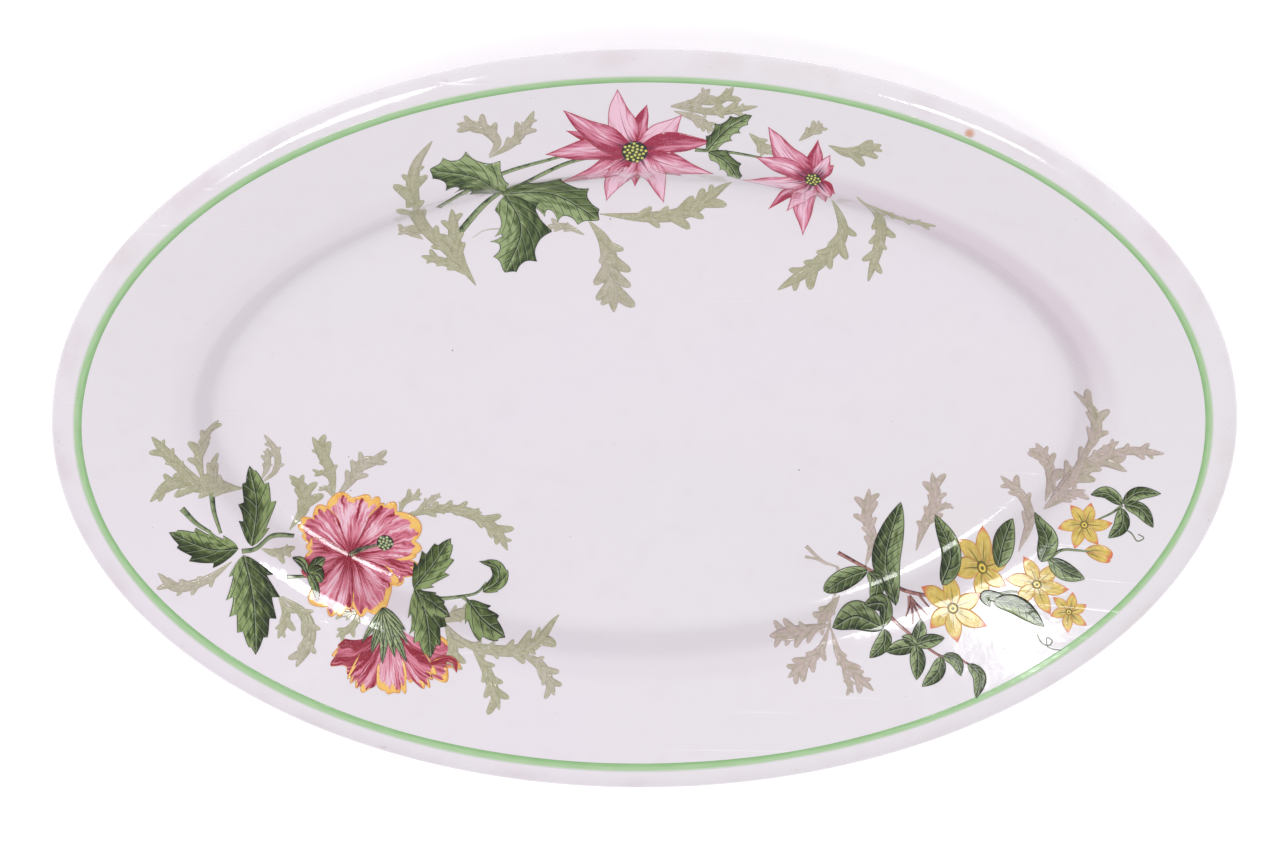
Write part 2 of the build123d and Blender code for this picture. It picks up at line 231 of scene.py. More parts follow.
def edge_distance(x, y):
    """Distance in from the rim's ellipse of points in plan, by a few Newton steps on the nearest angle."""
    phi = np.arctan2(y * HALF_LENGTH, x * HALF_WIDTH)
    focal = HALF_LENGTH**2 - HALF_WIDTH**2
    for _ in range(NEWTON_STEPS):
        sine, cosine = np.sin(phi), np.cos(phi)
        slope = -focal * cosine * sine + x * HALF_LENGTH * sine - y * HALF_WIDTH * cosine
        bend = -focal * (cosine**2 - sine**2) + x * HALF_LENGTH * cosine + y * HALF_WIDTH * sine
        phi = phi - np.clip(slope / np.maximum(bend, HALF_WIDTH), -NEWTON_REACH, NEWTON_REACH)
    return np.hypot(HALF_LENGTH * np.cos(phi) - x, HALF_WIDTH * np.sin(phi) - y)


def face_height(x, y):
    """Height of the face at points in plan."""
    return np.interp(HALF_LENGTH - edge_distance(x, y), FACE[:, 0], FACE[:, 1])


def make_object(name, points, faces, materials, face_materials=None, attributes=None):
    """A smooth mesh object from points in millimetres."""
    mesh = bpy.data.meshes.new(name)
    mesh.from_pydata((np.asarray(points) * MM).tolist(), [], faces)
    for material in materials:
        mesh.materials.append(material)
    if face_materials is not None:
        mesh.polygons.foreach_set("material_index", face_materials)
    for key, values in (attributes or {}).items():
        layer = mesh.attributes.new(key, "FLOAT_VECTOR", "POINT")
        layer.data.foreach_set("vector", np.asarray(values, dtype=np.float32).ravel())
    mesh.polygons.foreach_set("use_smooth", [True] * len(mesh.polygons))
    mesh.update()
    piece = bpy.data.objects.new(name, mesh)
    bpy.context.scene.collection.objects.link(piece)
    return piece


def band_faces(rows, columns, closed):
    """Quads of a grid of rows by columns; closed joins the last column to the first."""
    faces = []
    for row in range(rows - 1):
        for column in range(columns if closed else columns - 1):
            after = (column + 1) % columns
            here, there = row * columns, (row + 1) * columns
            faces.append((here + column, here + after, there + after, there + column))
    return faces


def thicken(piece, side):
    """Gives a sheet the thickness of a colour film, behind its faces for -1 and in front of them for 1."""
    solid = piece.modifiers.new("thickness", "SOLIDIFY")
    solid.thickness = FILM_THICKNESS * MM
    solid.offset = side


def stand_for(piece, slot, *nodes):
    """Fixes a piece to the frame's root, in place of its CAD nodes."""
    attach(piece, "root")
    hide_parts(*nodes)


# Node materials. Thresholds, weights and colours were set one by one and by comparing mean colours of a
# render with the photograph's. Noise scales count cells to the metre of place(), or to the millimetre where
# the sizes of a mark are mapped.


def srgb(red, green, blue):
    """A screen colour of 0 to 255 as the linear colour that node sockets take."""
    linear = []
    for value in (red, green, blue):
        share = value / 255
        linear.append(share / 12.92 if share <= 0.04045 else ((share + 0.055) / 1.055) ** 2.4)
    return (*linear, 1.0)


WHITE_WARE = srgb(240, 234, 240)
DARK_GREEN = srgb(18, 28, 12)
GLAZE_IOR = 1.5
GLAZE_ROUGHNESS = 0.055
GLAZE_RELIEF = 0.22 * MM
DRY_ROUGHNESS = 0.75
DRY_RELIEF = 0.1 * MM
RUST_AT = (0.078, 0.0805, 0.0263)
SCRATCH_WAYS = ((24, 9, 900), (67, 7, 1100), (118, 8, 1000), (158, 6, 800))


class Signal:
    """What a node gives at each point of a surface. Sums on it add maths nodes to its shader."""

    def __init__(self, shader, socket):
        self.shader = shader
        self.socket = socket

    def __add__(self, other):
        return self.shader.math("ADD", self, other)

    def __sub__(self, other):
        return self.shader.math("SUBTRACT", self, other)

    def __mul__(self, other):
        return self.shader.math("MULTIPLY", self, other)

    def __truediv__(self, other):
        return self.shader.math("DIVIDE", self, other)

    def __abs__(self):
        return self.shader.math("ABSOLUTE", self)

    def step(self, low, high):
        """0 at low and 1 at high, eased between; low may be above high."""
        inputs = {"Value": self, "From Min": low, "From Max": high}
        return self.shader.node("MapRange", "Result", inputs, interpolation_type="SMOOTHSTEP")


class Shader:
    """One node material. Each method adds a node and returns the signal that comes out of it."""

    def __init__(self, name):
        self.material = bpy.data.materials.new(name)
        self.material.use_nodes = True
        self.tree = self.material.node_tree
        self.tree.nodes.clear()
        self.colour = WHITE_WARE

    def put(self, socket, value):
        if isinstance(value, Signal):
            self.tree.links.new(value.socket, socket)
        else:
            socket.default_value = value

    def node(self, kind, output, inputs, **settings):
        """A node of a kind, with its settings and inputs, by the one of its outputs that is wanted."""
        node = self.tree.nodes.new("ShaderNode" + kind)
        for name, value in settings.items():
            setattr(node, name, value)
        for name, value in inputs.items():
            self.put(node.inputs[name], value)
        return Signal(self, node.outputs[output])

    def math(self, operation, first, second=0.0):
        return self.node("Math", 0, {0: first, 1: second}, operation=operation)

    def mix(self, factor, low, high):
        first_colour, second_colour, mixed_colour = 6, 7, 2
        inputs = {"Factor": factor, first_colour: low, second_colour: high}
        return self.node("Mix", mixed_colour, inputs, data_type="RGBA")

    def cover(self, mask, paint):
        """Lays a paint over the colour so far, where the mask is 1."""
        self.colour = self.mix(mask, self.colour, paint)

    def vector(self, x, y, z):
        return self.node("CombineXYZ", 0, {"X": x, "Y": y, "Z": z})

    def attribute(self, name):
        """The three numbers that the mesh carries at each point under a name."""
        vector = self.node("Attribute", "Vector", {}, attribute_name=name)
        return [self.node("SeparateXYZ", axis, {0: vector}) for axis in "XYZ"]

    def mark(self):
        """What a painted mark carries: shares of its length and half width, its tone, and millimetres."""
        share, side, tone = self.attribute("mark")
        along, across, edge = self.attribute("size")
        return SimpleNamespace(share=share, side=side, tone=tone, along=along, across=across, edge=edge)

    def place(self):
        """The point's own position in the row frame, in metres."""
        return self.node("TexCoord", "Object", {})

    def gap(self, vector, point):
        """Distance of a vector from a fixed point."""
        return self.node("VectorMath", "Value", {0: vector, 1: point}, operation="DISTANCE")

    def noise(self, vector, scale, detail=2.0):
        return self.node("TexNoise", "Fac", {"Vector": vector, "Scale": scale, "Detail": detail})

    def stretched(self, vector, angle, scale):
        """The vector turned about Z and stretched, for scratches."""
        turn = (0, 0, math.radians(angle))
        return self.node("Mapping", 0, {"Vector": vector, "Rotation": turn, "Scale": scale})

    def specks(self, vector, scale, radius, share):
        """Small dots in a share of the cells of a Voronoi pattern."""
        cells = {"Vector": vector, "Scale": scale}
        dot = self.node("TexVoronoi", "Distance", cells).step(radius, radius * 0.4)
        lot = self.node("SeparateColor", 0, {0: self.node("TexVoronoi", "Color", cells)})
        return dot * self.math("LESS_THAN", lot, share)

    def surface(self, roughness, relief=None, relief_depth=0.0, **extra):
        """Ends the material with a surface of its colour and, where given, a relief of a depth in metres."""
        inputs = {"Base Color": self.colour, "Roughness": roughness, "IOR": GLAZE_IOR, **extra}
        if relief is not None:
            inputs["Normal"] = self.node("Bump", 0, {"Distance": relief_depth, "Height": relief})
        finish = self.node("BsdfPrincipled", 0, inputs)
        end = self.tree.nodes.new("ShaderNodeOutputMaterial")
        self.put(end.inputs["Surface"], finish)
        return self.material


def knife_marks(shader):
    """Fine scratches that run several ways across the ware, thicker in some patches than in others."""
    place = shader.place()
    marks = 0.0
    for angle, length_scale, width_scale in SCRATCH_WAYS:
        stretched = shader.stretched(place, angle, (length_scale, width_scale, length_scale))
        marks = shader.math("MAXIMUM", marks, shader.noise(stretched, 1.0, 1.0).step(0.70, 0.76))
    return marks * shader.noise(place, 28.0).step(0.48, 0.62)


def glazed(shader):
    """Ends a material as fired glaze: wavy gloss, orange peel and knife marks over its colour."""
    place = shader.place()
    marks = knife_marks(shader)
    waves = shader.noise(place, 55.0, 1.0)
    peel = shader.noise(place, 420.0, 2.0) * 0.10
    smear = shader.noise(place, 90.0, 4.0).step(0.35, 0.75)
    rough = smear * 0.05 + GLAZE_ROUGHNESS + marks * 0.22
    return shader.surface(rough, waves + peel - marks * 0.05, GLAZE_RELIEF)


def ware_material():
    """White hotel glaze: faint clouds, painted shade as a darker, pinker band on the wall, a rubbed edge,
    pinholes, a rust spot.
    """
    shader = Shader("ware_glaze")
    place = shader.place()
    inset, turn, _ = shader.attribute("ware")
    cloud = shader.noise(place, 11.0, 3.0)
    shader.colour = shader.mix(cloud.step(0.3, 0.7), srgb(240, 233, 240), srgb(238, 234, 238))
    mottle = shader.noise(place, 160.0, 4.0).step(0.5, 0.8)
    shader.cover(mottle * 0.10, srgb(222, 210, 214))
    # Painted shade: the band on the wall is painted darker and pinker, most towards the upper right.
    wall_shade_band = inset.step(27.0, 31.0) * inset.step(40.0, 36.0)
    corner = abs(turn - 0.12).step(0.13, 0.05)
    shader.cover(wall_shade_band * (corner * 0.38 + 0.12), srgb(218, 200, 214))
    dull = shader.noise(place, 70.0, 5.0).step(0.42, 0.72) * inset.step(6.0, 2.0)
    shader.cover(dull * 0.30, srgb(218, 202, 204))
    rub = shader.noise(shader.stretched(place, 0, (1.0, 1.0, 3.0)), 310.0, 6.0).step(0.66, 0.74)
    shader.cover(rub * inset.step(5.0, 1.0) * 0.25, srgb(160, 138, 124))
    shader.cover(shader.specks(place, 105.0, 0.030, 0.30) * 0.75, srgb(96, 84, 82))
    shader.cover(shader.specks(place, 260.0, 0.05, 0.16) * 0.45, srgb(130, 112, 108))
    rust = (shader.gap(place, RUST_AT) + cloud * 0.0009).step(0.0023, 0.0011)
    shader.cover(rust * 0.85, srgb(214, 156, 118))
    return glazed(shader)


def foot_material():
    """Unglazed china at the dry foot, greyed where it has stood."""
    shader = Shader("dry_foot")
    place = shader.place()
    grain = shader.noise(place, 900.0, 6.0)
    shader.colour = shader.mix(grain.step(0.3, 0.7), srgb(222, 214, 202), srgb(206, 196, 182))
    dirt = shader.noise(place, 120.0, 5.0).step(0.5, 0.75)
    shader.cover(dirt * 0.5, srgb(160, 148, 134))
    return shader.surface(DRY_ROUGHNESS, grain, DRY_RELIEF)


def line_material():
    """The green band: brushed on, denser towards its inner edge and thin at its outer edge."""
    shader = Shader("green_line")
    turn, across, _ = shader.attribute("mark")
    brush = shader.noise(shader.vector(turn * 60.0, across, 0.0), 2.0, 4.0)
    light = shader.mix(brush.step(0.35, 0.7), srgb(182, 214, 168), srgb(170, 206, 156))
    dense = shader.mix(brush.step(0.3, 0.6), srgb(160, 204, 146), srgb(148, 194, 134))
    shader.colour = shader.mix(across.step(0.15, -0.75), light, dense)
    thin = (across + brush * 0.3).step(0.55, 1.15)
    shader.cover(thin * 0.75, WHITE_WARE)
    return glazed(shader)


def printed(shader, grain_share=0.12):
    """Ends a material as a glazed print, whose fine broken grain lets the white ware show through."""
    grain = shader.noise(shader.place(), 2600.0, 2.0).step(0.52, 0.75)
    shader.cover(grain * grain_share, WHITE_WARE)
    return glazed(shader)


def veins(along, across, pitch, lean, width):
    """Side veins that leave the middle of a leaf and sweep towards its tip, 1 on the vein."""
    phase = along.shader.math("FRACT", (along - abs(across) * lean) / pitch)
    return (abs(phase - 0.5) * pitch).step(width, width * 0.3)


def leaf_material(name, light, middle, dark, pitch):
    """A painted leaf: lit and shaded halves, dark veins with a light line beside them, dark outline."""
    shader = Shader(name)
    at = shader.mark()
    wash = shader.noise(shader.vector(at.along * 0.35, at.across, at.tone * 40.0), 0.9, 4.0)
    shade = at.side * 0.22 + wash
    shader.colour = shader.mix(shade.step(0.30, 0.55), light, middle)
    shader.cover((shade + at.tone * 0.12).step(0.56, 0.86), dark)
    hatch = veins(at.along + wash, at.across, pitch / 5, 0.95, 0.10)
    shader.cover(hatch * 0.16, dark)
    glint = veins(at.along + 0.45, at.across, pitch, 1.15, 0.24)
    shader.cover(glint * 0.30, srgb(176, 190, 154))
    vein = veins(at.along, at.across, pitch, 1.15, 0.27)
    shader.cover(vein * at.edge.step(0.15, 0.7) * 0.80, DARK_GREEN)
    rib_light = abs(at.across - 0.22).step(0.17, 0.05)
    shader.cover(rib_light * 0.42, srgb(186, 198, 166))
    rib = abs(at.across).step(0.17, 0.07)
    shader.cover(rib * at.share.step(0.99, 0.85), srgb(18, 30, 20))
    shader.cover(at.edge.step(0.26, 0.10) * 0.85, DARK_GREEN)
    return printed(shader, 0.05)


def bract_material():
    """A pink pointed bract: pale middle, deep red sides, base and brushed streaks."""
    shader = Shader("bract_pink")
    at = shader.mark()
    seed = at.tone * 37.0
    streak = shader.noise(shader.vector(at.along * 0.16, at.across * 1.5, seed), 1.3, 3.0)
    depth = abs(at.side + (at.tone - 0.5) * 0.7) * 0.42 + streak * 0.85
    depth = depth + (at.tone - 0.5) * 0.55 + at.share.step(0.45, 0.05) * 0.42
    shader.colour = shader.mix(depth.step(0.45, 0.73), srgb(249, 206, 224), srgb(222, 134, 160))
    shader.cover(depth.step(0.68, 0.98), srgb(166, 48, 80))
    lines = shader.noise(shader.vector(at.along * 0.10, at.across * 2.4, seed), 1.4, 2.0)
    shader.cover(lines.step(0.55, 0.68) * 0.38, srgb(176, 56, 84))
    rib = abs(at.across).step(0.14, 0.05)
    shader.cover(rib * at.share.step(0.8, 0.3), srgb(160, 44, 74))
    base = (at.along + abs(at.across) * 1.6).step(6.4, 3.2)
    shader.cover(base * lines.step(0.38, 0.60), srgb(92, 48, 74))
    shader.cover(at.edge.step(0.30, 0.10) * 0.80, srgb(190, 52, 80))
    return printed(shader)


def ruffled_material():
    """A broad ruffled petal: fine crimson streaks from the throat, and a ragged yellow hem."""
    shader = Shader("ruffled_pink")
    at = shader.mark()
    seed = at.tone * 53.0
    spoke = at.side + shader.noise(shader.vector(at.along, at.across, seed), 0.35, 2.0) * 0.35
    fine = shader.noise(shader.vector(at.share * 1.8, spoke * 13.0, seed), 1.0, 3.0)
    broad = shader.noise(shader.vector(at.share * 2.2, spoke * 3.2, seed), 1.0, 2.0)
    depth = fine * 0.95 + broad * 0.80 + at.share.step(0.42, 0.05) * 0.30
    depth = depth + abs(at.side).step(0.74, 1.0) * 0.16 + (at.tone - 0.45) * 0.34
    shader.colour = shader.mix(depth.step(0.65, 0.91), srgb(247, 208, 222), srgb(222, 122, 146))
    shader.cover(depth.step(0.87, 1.12), srgb(150, 22, 50))
    ragged = at.edge + (fine - 0.5) * 1.8 + (broad - 0.5) * 7.0 + at.tone * 3.2
    gold = shader.mix(broad.step(0.4, 0.6), srgb(253, 204, 112), srgb(247, 186, 86))
    shader.cover(ragged.step(3.2, 2.8), gold)
    shader.cover(at.edge.step(0.34, 0.12) * 0.45, srgb(214, 104, 84))
    return printed(shader)


def trumpet_material():
    """A small yellow petal: olive shading at its base and flushed orange tips."""
    shader = Shader("trumpet_yellow")
    at = shader.mark()
    seed = at.tone * 31.0
    wash = shader.noise(shader.vector(at.along, at.across * 2.0, seed), 0.8, 3.0)
    shader.colour = shader.mix(wash.step(0.35, 0.65), srgb(234, 208, 116), srgb(218, 188, 88))
    lines = shader.noise(shader.vector(at.along * 0.25, at.across * 6.0, seed), 1.2, 1.0)
    shadow = at.share.step(0.62, 0.12) * lines.step(0.46, 0.60)
    shader.cover(shadow * 0.75, srgb(128, 120, 58))
    rib = abs(at.across).step(0.16, 0.06)
    shader.cover(rib * at.share.step(0.75, 0.35), srgb(122, 108, 52))
    flush = at.share.step(0.74, 0.98) + at.edge.step(0.45, 0.1) * 0.45
    shader.cover(shader.math("MINIMUM", flush, 0.85), srgb(224, 108, 84))
    return printed(shader)


def scroll_material(name, warm, faded):
    """A flat printed scroll: mottled olive that fades to a rosy beige, with a pale rib."""
    shader = Shader(name)
    at = shader.mark()
    place = shader.place()
    fade = shader.noise(place, 34.0, 2.0) + at.tone * 0.4
    shader.colour = shader.mix(fade.step(warm, warm + 0.22), srgb(184, 181, 151), faded)
    dense = shader.noise(place, 650.0, 5.0).step(0.42, 0.68)
    shader.cover(dense * 0.45, srgb(156, 156, 116))
    heart = at.edge.step(0.3, 1.3) * shader.noise(place, 130.0, 3.0).step(0.4, 0.62)
    shader.cover(heart * 0.35, srgb(140, 144, 100))
    rib = abs(at.across).step(0.12, 0.04)
    shader.cover(rib * 0.35, srgb(214, 210, 190))
    return printed(shader, 0.42)


def stem_material(name, light, middle, dark):
    """A painted stem: a lit side, a shaded side and a dark outline."""
    shader = Shader(name)
    at = shader.mark()
    wash = shader.noise(shader.vector(at.along, at.across, at.tone), 0.7, 2.0)
    shade = at.side * 0.35 + wash
    shader.colour = shader.mix(shade.step(0.30, 0.62), light, middle)
    shader.cover(shade.step(0.62, 0.80), dark)
    shader.cover(at.edge.step(0.20, 0.06) * 0.6, dark)
    return printed(shader)


def dot_material(name, light, dark):
    """Small round anthers, each with a lit middle and a dark rim."""
    shader = Shader(name)
    shader.colour = shader.mix(shader.mark().share.step(0.5, 0.95), light, dark)
    return glazed(shader)


WARE = ware_material()
FOOT = foot_material()
LINE = line_material()
BRACT = bract_material()
RUFFLED = ruffled_material()
TRUMPET = trumpet_material()
HOLLY_LEAF = leaf_material("holly_leaf", srgb(160, 178, 126), srgb(104, 122, 74), srgb(50, 68, 32), 3.4)
TOOTHED_LEAF = leaf_material("toothed_leaf", srgb(146, 166, 106), srgb(78, 96, 44), srgb(32, 46, 12), 3.2)
SMOOTH_LEAF = leaf_material("smooth_leaf", srgb(152, 170, 120), srgb(84, 102, 54), srgb(34, 50, 20), 2.4)
CALYX = leaf_material("calyx_leaf", srgb(178, 192, 142), srgb(128, 148, 96), srgb(66, 84, 46), 2.0)
GREEN_STEM = stem_material("green_stem", srgb(156, 170, 126), srgb(108, 126, 86), srgb(52, 66, 46))
DARK_STEM = stem_material("dark_stem", srgb(150, 140, 96), srgb(70, 60, 56), srgb(38, 34, 40))
BARK_STEM = stem_material("bark_stem", srgb(190, 140, 130), srgb(150, 96, 92), srgb(84, 52, 60))
SCROLL_OLIVE = scroll_material("scroll_olive", 0.66, srgb(194, 186, 168))
SCROLL_BEIGE = scroll_material("scroll_beige", 0.46, srgb(199, 181, 174))
DISC = dot_material("bloom_disc", srgb(70, 84, 58), srgb(44, 52, 52))
ANTHER = dot_material("anther_yellow", srgb(226, 222, 130), srgb(120, 122, 62))
PALE_ANTHER = dot_material("anther_pale", srgb(196, 208, 160), srgb(92, 104, 72))
TRUMPET_EYE = dot_material("trumpet_eye", srgb(110, 104, 52), srgb(120, 112, 52))
TRUMPET_RING = dot_material("trumpet_ring", srgb(250, 226, 110), srgb(236, 200, 84))


# Drawing marks on the face


def taper(u, rise, fall):
    """0 at both ends and 1 at the widest; a small rise fills out the base, and a small fall the tip."""
    peak = rise / (rise + fall)
    return (u**rise) * ((1 - u) ** fall) / (peak**rise * (1 - peak) ** fall)


CURVE_STEPS = 24


def curve_through(points, count):
    """Evenly spaced points on a smooth curve through a few points (Catmull-Rom)."""
    given = np.array(points, dtype=float)
    if len(given) == 2:
        given = np.array([given[0], (given[0] + given[1]) / 2, given[1]])
    padded = np.vstack([2 * given[0] - given[1], given, 2 * given[-1] - given[-2]])
    dense = []
    for before, start, end, after in zip(padded, padded[1:], padded[2:], padded[3:]):
        t = np.linspace(0, 1, CURVE_STEPS, endpoint=False)[:, None]
        swing = (2 * before - 5 * start + 4 * end - after) * t**2
        swing = swing + (3 * start - before - 3 * end + after) * t**3
        dense.append(start + 0.5 * ((end - before) * t + swing))
    dense = np.vstack([*dense, given[-1:]])
    run = np.concatenate([[0], np.cumsum(np.linalg.norm(np.diff(dense, axis=0), axis=1))])
    even = np.linspace(0, run[-1], count)
    return np.stack([np.interp(even, run, dense[:, 0]), np.interp(even, run, dense[:, 1])], axis=1)


class Film:
    """The painted marks of one colour film, gathered as grids in plan and laid on the face.

    A mark lies higher by its layer and by a little of its own, which keeps overlapping marks apart.
    """

    LAYER_LIFT = 0.062
    MARK_LIFT = 0.0015
    MARK_CYCLE = 41
    LEAST_HALF = 0.03
    FAN_ROWS = 26
    FAN_COLUMNS = 61
    INNERMOST = 0.02

    def __init__(self):
        self.points = []
        self.faces = []
        self.face_materials = []
        self.marks = []
        self.sizes = []
        self.layer = 0
        self.marks_laid = 0

    def grid(self, plan, share, across_share, along, across, edge, tone, material, closed=False):
        """Adds one mark as a grid of points, with what its paint needs at each one and a lift of its own."""
        rows, columns = share.shape
        start = len(self.points)
        x, y = plan[..., 0].ravel(), plan[..., 1].ravel()
        own_lift = self.MARK_LIFT * (self.marks_laid % self.MARK_CYCLE)
        lift = FILM_LIFT + self.LAYER_LIFT * self.layer + own_lift
        self.marks_laid += 1
        z = face_height(x, y) + lift
        self.points.extend(zip(x, y, z))
        self.marks.extend(zip(share.ravel(), across_share.ravel(), np.full(share.size, tone)))
        self.sizes.extend(zip(along.ravel(), across.ravel(), edge.ravel()))
        faces = band_faces(rows, columns, closed)
        self.faces.extend(tuple(start + corner for corner in reversed(face)) for face in faces)
        self.face_materials.extend([material] * len(faces))

    def strip(self, points, left, right, material, tone=None, slant=0.0, rows=36, columns=9):
        """A mark along a curve; the half width on each side is a function of the share of its length."""
        middle = curve_through(points, rows)
        tangent = np.gradient(middle, axis=0)
        tangent /= np.linalg.norm(tangent, axis=1)[:, None]
        normal = np.stack([-tangent[:, 1], tangent[:, 0]], axis=1)
        u = np.linspace(0, 1, rows)
        v = np.linspace(-1, 1, columns)
        share, across_share = np.meshgrid(u, v, indexing="ij")
        wide_left = np.maximum(left(u), self.LEAST_HALF)[:, None]
        wide_right = np.maximum(right(u), self.LEAST_HALF)[:, None]
        half = np.where(across_share > 0, wide_left, wide_right)
        across = across_share * half
        plan = middle[:, None, :] + normal[:, None, :] * across[..., None]
        plan = plan + tangent[:, None, :] * (np.abs(across) * slant)[..., None]
        length = np.linalg.norm(np.diff(middle, axis=0), axis=1).sum()
        edge = half * (1 - np.abs(across_share))
        tone = random.random() if tone is None else tone
        self.grid(plan, share, across_share, share * length, across, edge, tone, material)

    def fan(self, base, angle, spread, radius, tone, ruffle, waves=4, narrow=0.90, bend=0.0):
        """A broad petal: a fan of a half spread each side of an angle, with a scalloped far edge.

        Narrow is the share of the spread at the base, and bend is how far the petal swings on its way out.
        """
        u = np.linspace(self.INNERMOST, 1, self.FAN_ROWS)
        v = np.linspace(-1, 1, self.FAN_COLUMNS)
        share, across_share = np.meshgrid(u, v, indexing="ij")
        opening = narrow + (1 - narrow) * share**1.5
        turn = np.radians(angle + bend * share**2 + spread * across_share * opening)
        # The outline is rounded off towards both sides, scalloped at the far edge and gently uneven
        round_off = np.sqrt(np.maximum(1 - (0.86 * across_share) ** 4, 0.05))
        uneven = across_share + 0.25 * np.sin(3 * across_share + 9 * tone)
        scallop = np.abs(np.cos(waves * np.pi / 2 * uneven)) ** 0.7
        wave = 1 - ruffle * (1 - scallop) * share**4
        wave = wave + 0.35 * ruffle * np.sin(2.3 * np.pi * across_share + 23 * tone) * share**2
        reach = radius * share * round_off * wave
        plan = np.stack([base[0] + reach * np.cos(turn), base[1] + reach * np.sin(turn)], axis=-1)
        across = reach * np.radians(spread * across_share)
        self.grid(plan, share, across_share, radius * share, across, radius * (1 - share), tone, 0)

    def dot(self, middle, radius, material, tone=None, sides=12):
        """A small round dab."""
        tone = random.random() if tone is None else tone
        u = np.array([2 * self.INNERMOST, 0.5, 0.8, 1.0])
        v = np.arange(sides) / sides
        share, around = np.meshgrid(u, v, indexing="ij")
        turn = 2 * np.pi * around
        reach = radius * share
        plan = np.stack([middle[0] + reach * np.cos(turn), middle[1] + reach * np.sin(turn)], axis=-1)
        zero = np.zeros_like(share)
        self.grid(plan, share, zero, reach, zero, radius * (1 - share), tone, material, closed=True)

    def lay(self, name, materials, slot, *nodes):
        """Makes one piece of all the marks and lets it stand for its CAD nodes."""
        attributes = {"mark": self.marks, "size": self.sizes}
        piece = make_object(name, self.points, self.faces, materials, self.face_materials, attributes)
        thicken(piece, -1)
        stand_for(piece, slot, *nodes)


def plain_leaf(film, points, width, material=0, rise=0.62, fall=0.85, **options):
    """A leaf with a smooth edge."""

    def half(u):
        return width / 2 * taper(u, rise, fall)

    film.strip(points, half, half, material, **options)


def plain_leaves(film, leaves):
    """Smooth leaves in their order, each given by its points, width and tone."""
    for points, width, tone in leaves:
        plain_leaf(film, points, width, tone=tone)


def toothed_leaf(film, points, width, teeth, depth, tone):
    """A leaf with forward-pointing teeth, as on a hibiscus."""

    def half(shift):
        def profile(u):
            phase = (u * teeth + shift) % 1
            return width / 2 * taper(u, 0.55, 1.05) * (1 - depth + depth * phase**1.6)

        return profile

    film.strip(points, half(0.0), half(0.45), 0, tone, slant=0.35, rows=18 * teeth, columns=13)


SPINE_DEPTH = 0.36


def spiny_leaf(film, points, width, spines, tone):
    """A leaf whose edge is scooped out between spines, as on holly."""

    def half(shift):
        def profile(u):
            phase = (u * spines + shift) % 1
            scoop = 1 - SPINE_DEPTH * (1 - np.abs(2 * phase - 1) ** 2.6)
            return width / 2 * taper(u, 0.46, 0.80) * scoop

        return profile

    film.strip(points, half(0.4), half(0.8), 0, tone, slant=0.42, rows=28 * spines, columns=13)


def bract(film, base, tip, width, tone, bend=0.0):
    """A pointed bract: narrow at its base, widest before the middle, drawn out to a point."""
    base, tip = np.array(base, dtype=float), np.array(tip, dtype=float)
    along = tip - base
    middle = base + along * 0.5 + np.array([-along[1], along[0]]) * bend
    fuller = 0.16 * random.random()

    def left(u):
        return width / 2 * taper(u, 0.80, 1.20) * (1 + fuller + 0.13 * np.sin(8 * u + tip[0]))

    def right(u):
        return width / 2 * taper(u, 0.80, 1.20) * (1 - fuller + 0.13 * np.sin(9 * u + tip[1]))

    film.strip([base, middle, tip], left, right, 0, tone, rows=34)


FROND_STEPS = 60
STALK_HALF = 0.13
FIRST_LOBE = 0.24
LOBE_SPAN = 0.60
KNEE_AHEAD, KNEE_ASIDE = 0.54, 0.30
TIP_AHEAD, TIP_ASIDE = 0.92, 0.68


def frond(film, points, width, lobes, tone=None):
    """A printed acanthus scroll: a slim stalk that swells into a body with uneven lobes hooked forward."""
    tone = random.random() if tone is None else tone
    rib = curve_through(points, FROND_STEPS)
    run = np.linalg.norm(np.diff(rib, axis=0), axis=1).sum()
    heading = np.gradient(rib, axis=0)
    heading /= np.linalg.norm(heading, axis=1)[:, None]

    def body(u):
        return width * 0.25 * taper(u, 1.10, 0.80) + STALK_HALF

    film.strip(points, body, body, 0, tone, rows=30, columns=5)
    # Lobes leave the rib to alternate sides, at uneven steps, largest in the middle, and hook forward
    for index in range(lobes + 2):
        side = (-1) ** index
        share = FIRST_LOBE + LOBE_SPAN * (index + 0.45 * random.random()) / (lobes + 2)
        place = int(share * (FROND_STEPS - 1))
        at, ahead = rib[place], heading[place]
        aside = np.array([-ahead[1], ahead[0]]) * side
        full = math.sin(math.pi * (0.14 + 0.66 * share)) * (0.66 + 0.62 * random.random())
        reach = min(width * 0.80 * full, run * 0.40)
        knee = at + reach * (KNEE_AHEAD * ahead + KNEE_ASIDE * aside)
        tip = at + reach * (TIP_AHEAD * ahead + TIP_ASIDE * aside)

        def outer(u, reach=reach):
            return reach * 0.20 * taper(u, 0.55, 0.46)

        def inner(u, reach=reach):
            return reach * 0.22 * taper(u, 0.45, 0.52)

        left, right = (inner, outer) if side < 0 else (outer, inner)
        film.strip([at, knee, tip], left, right, 0, tone, rows=18, columns=5)

    def last(u):
        return width * 0.16 * taper(u, 0.90, 0.80)

    film.strip(rib[FROND_STEPS * 2 // 3 :: 5], last, last, 0, tone, rows=16, columns=5)


def fronds(film, scrolls):
    """Fronds in their order, each given by its points, width, lobes and, if it is set, its tone."""
    for scroll in scrolls:
        frond(film, *scroll)


def stem(film, points, width, material=0, end=0.55, **options):
    """A stem that thins towards its end."""

    def half(u):
        return width / 2 * (1 - (1 - end) * u)

    film.strip(points, half, half, material, rows=8 * len(points) + 8, columns=5, **options)


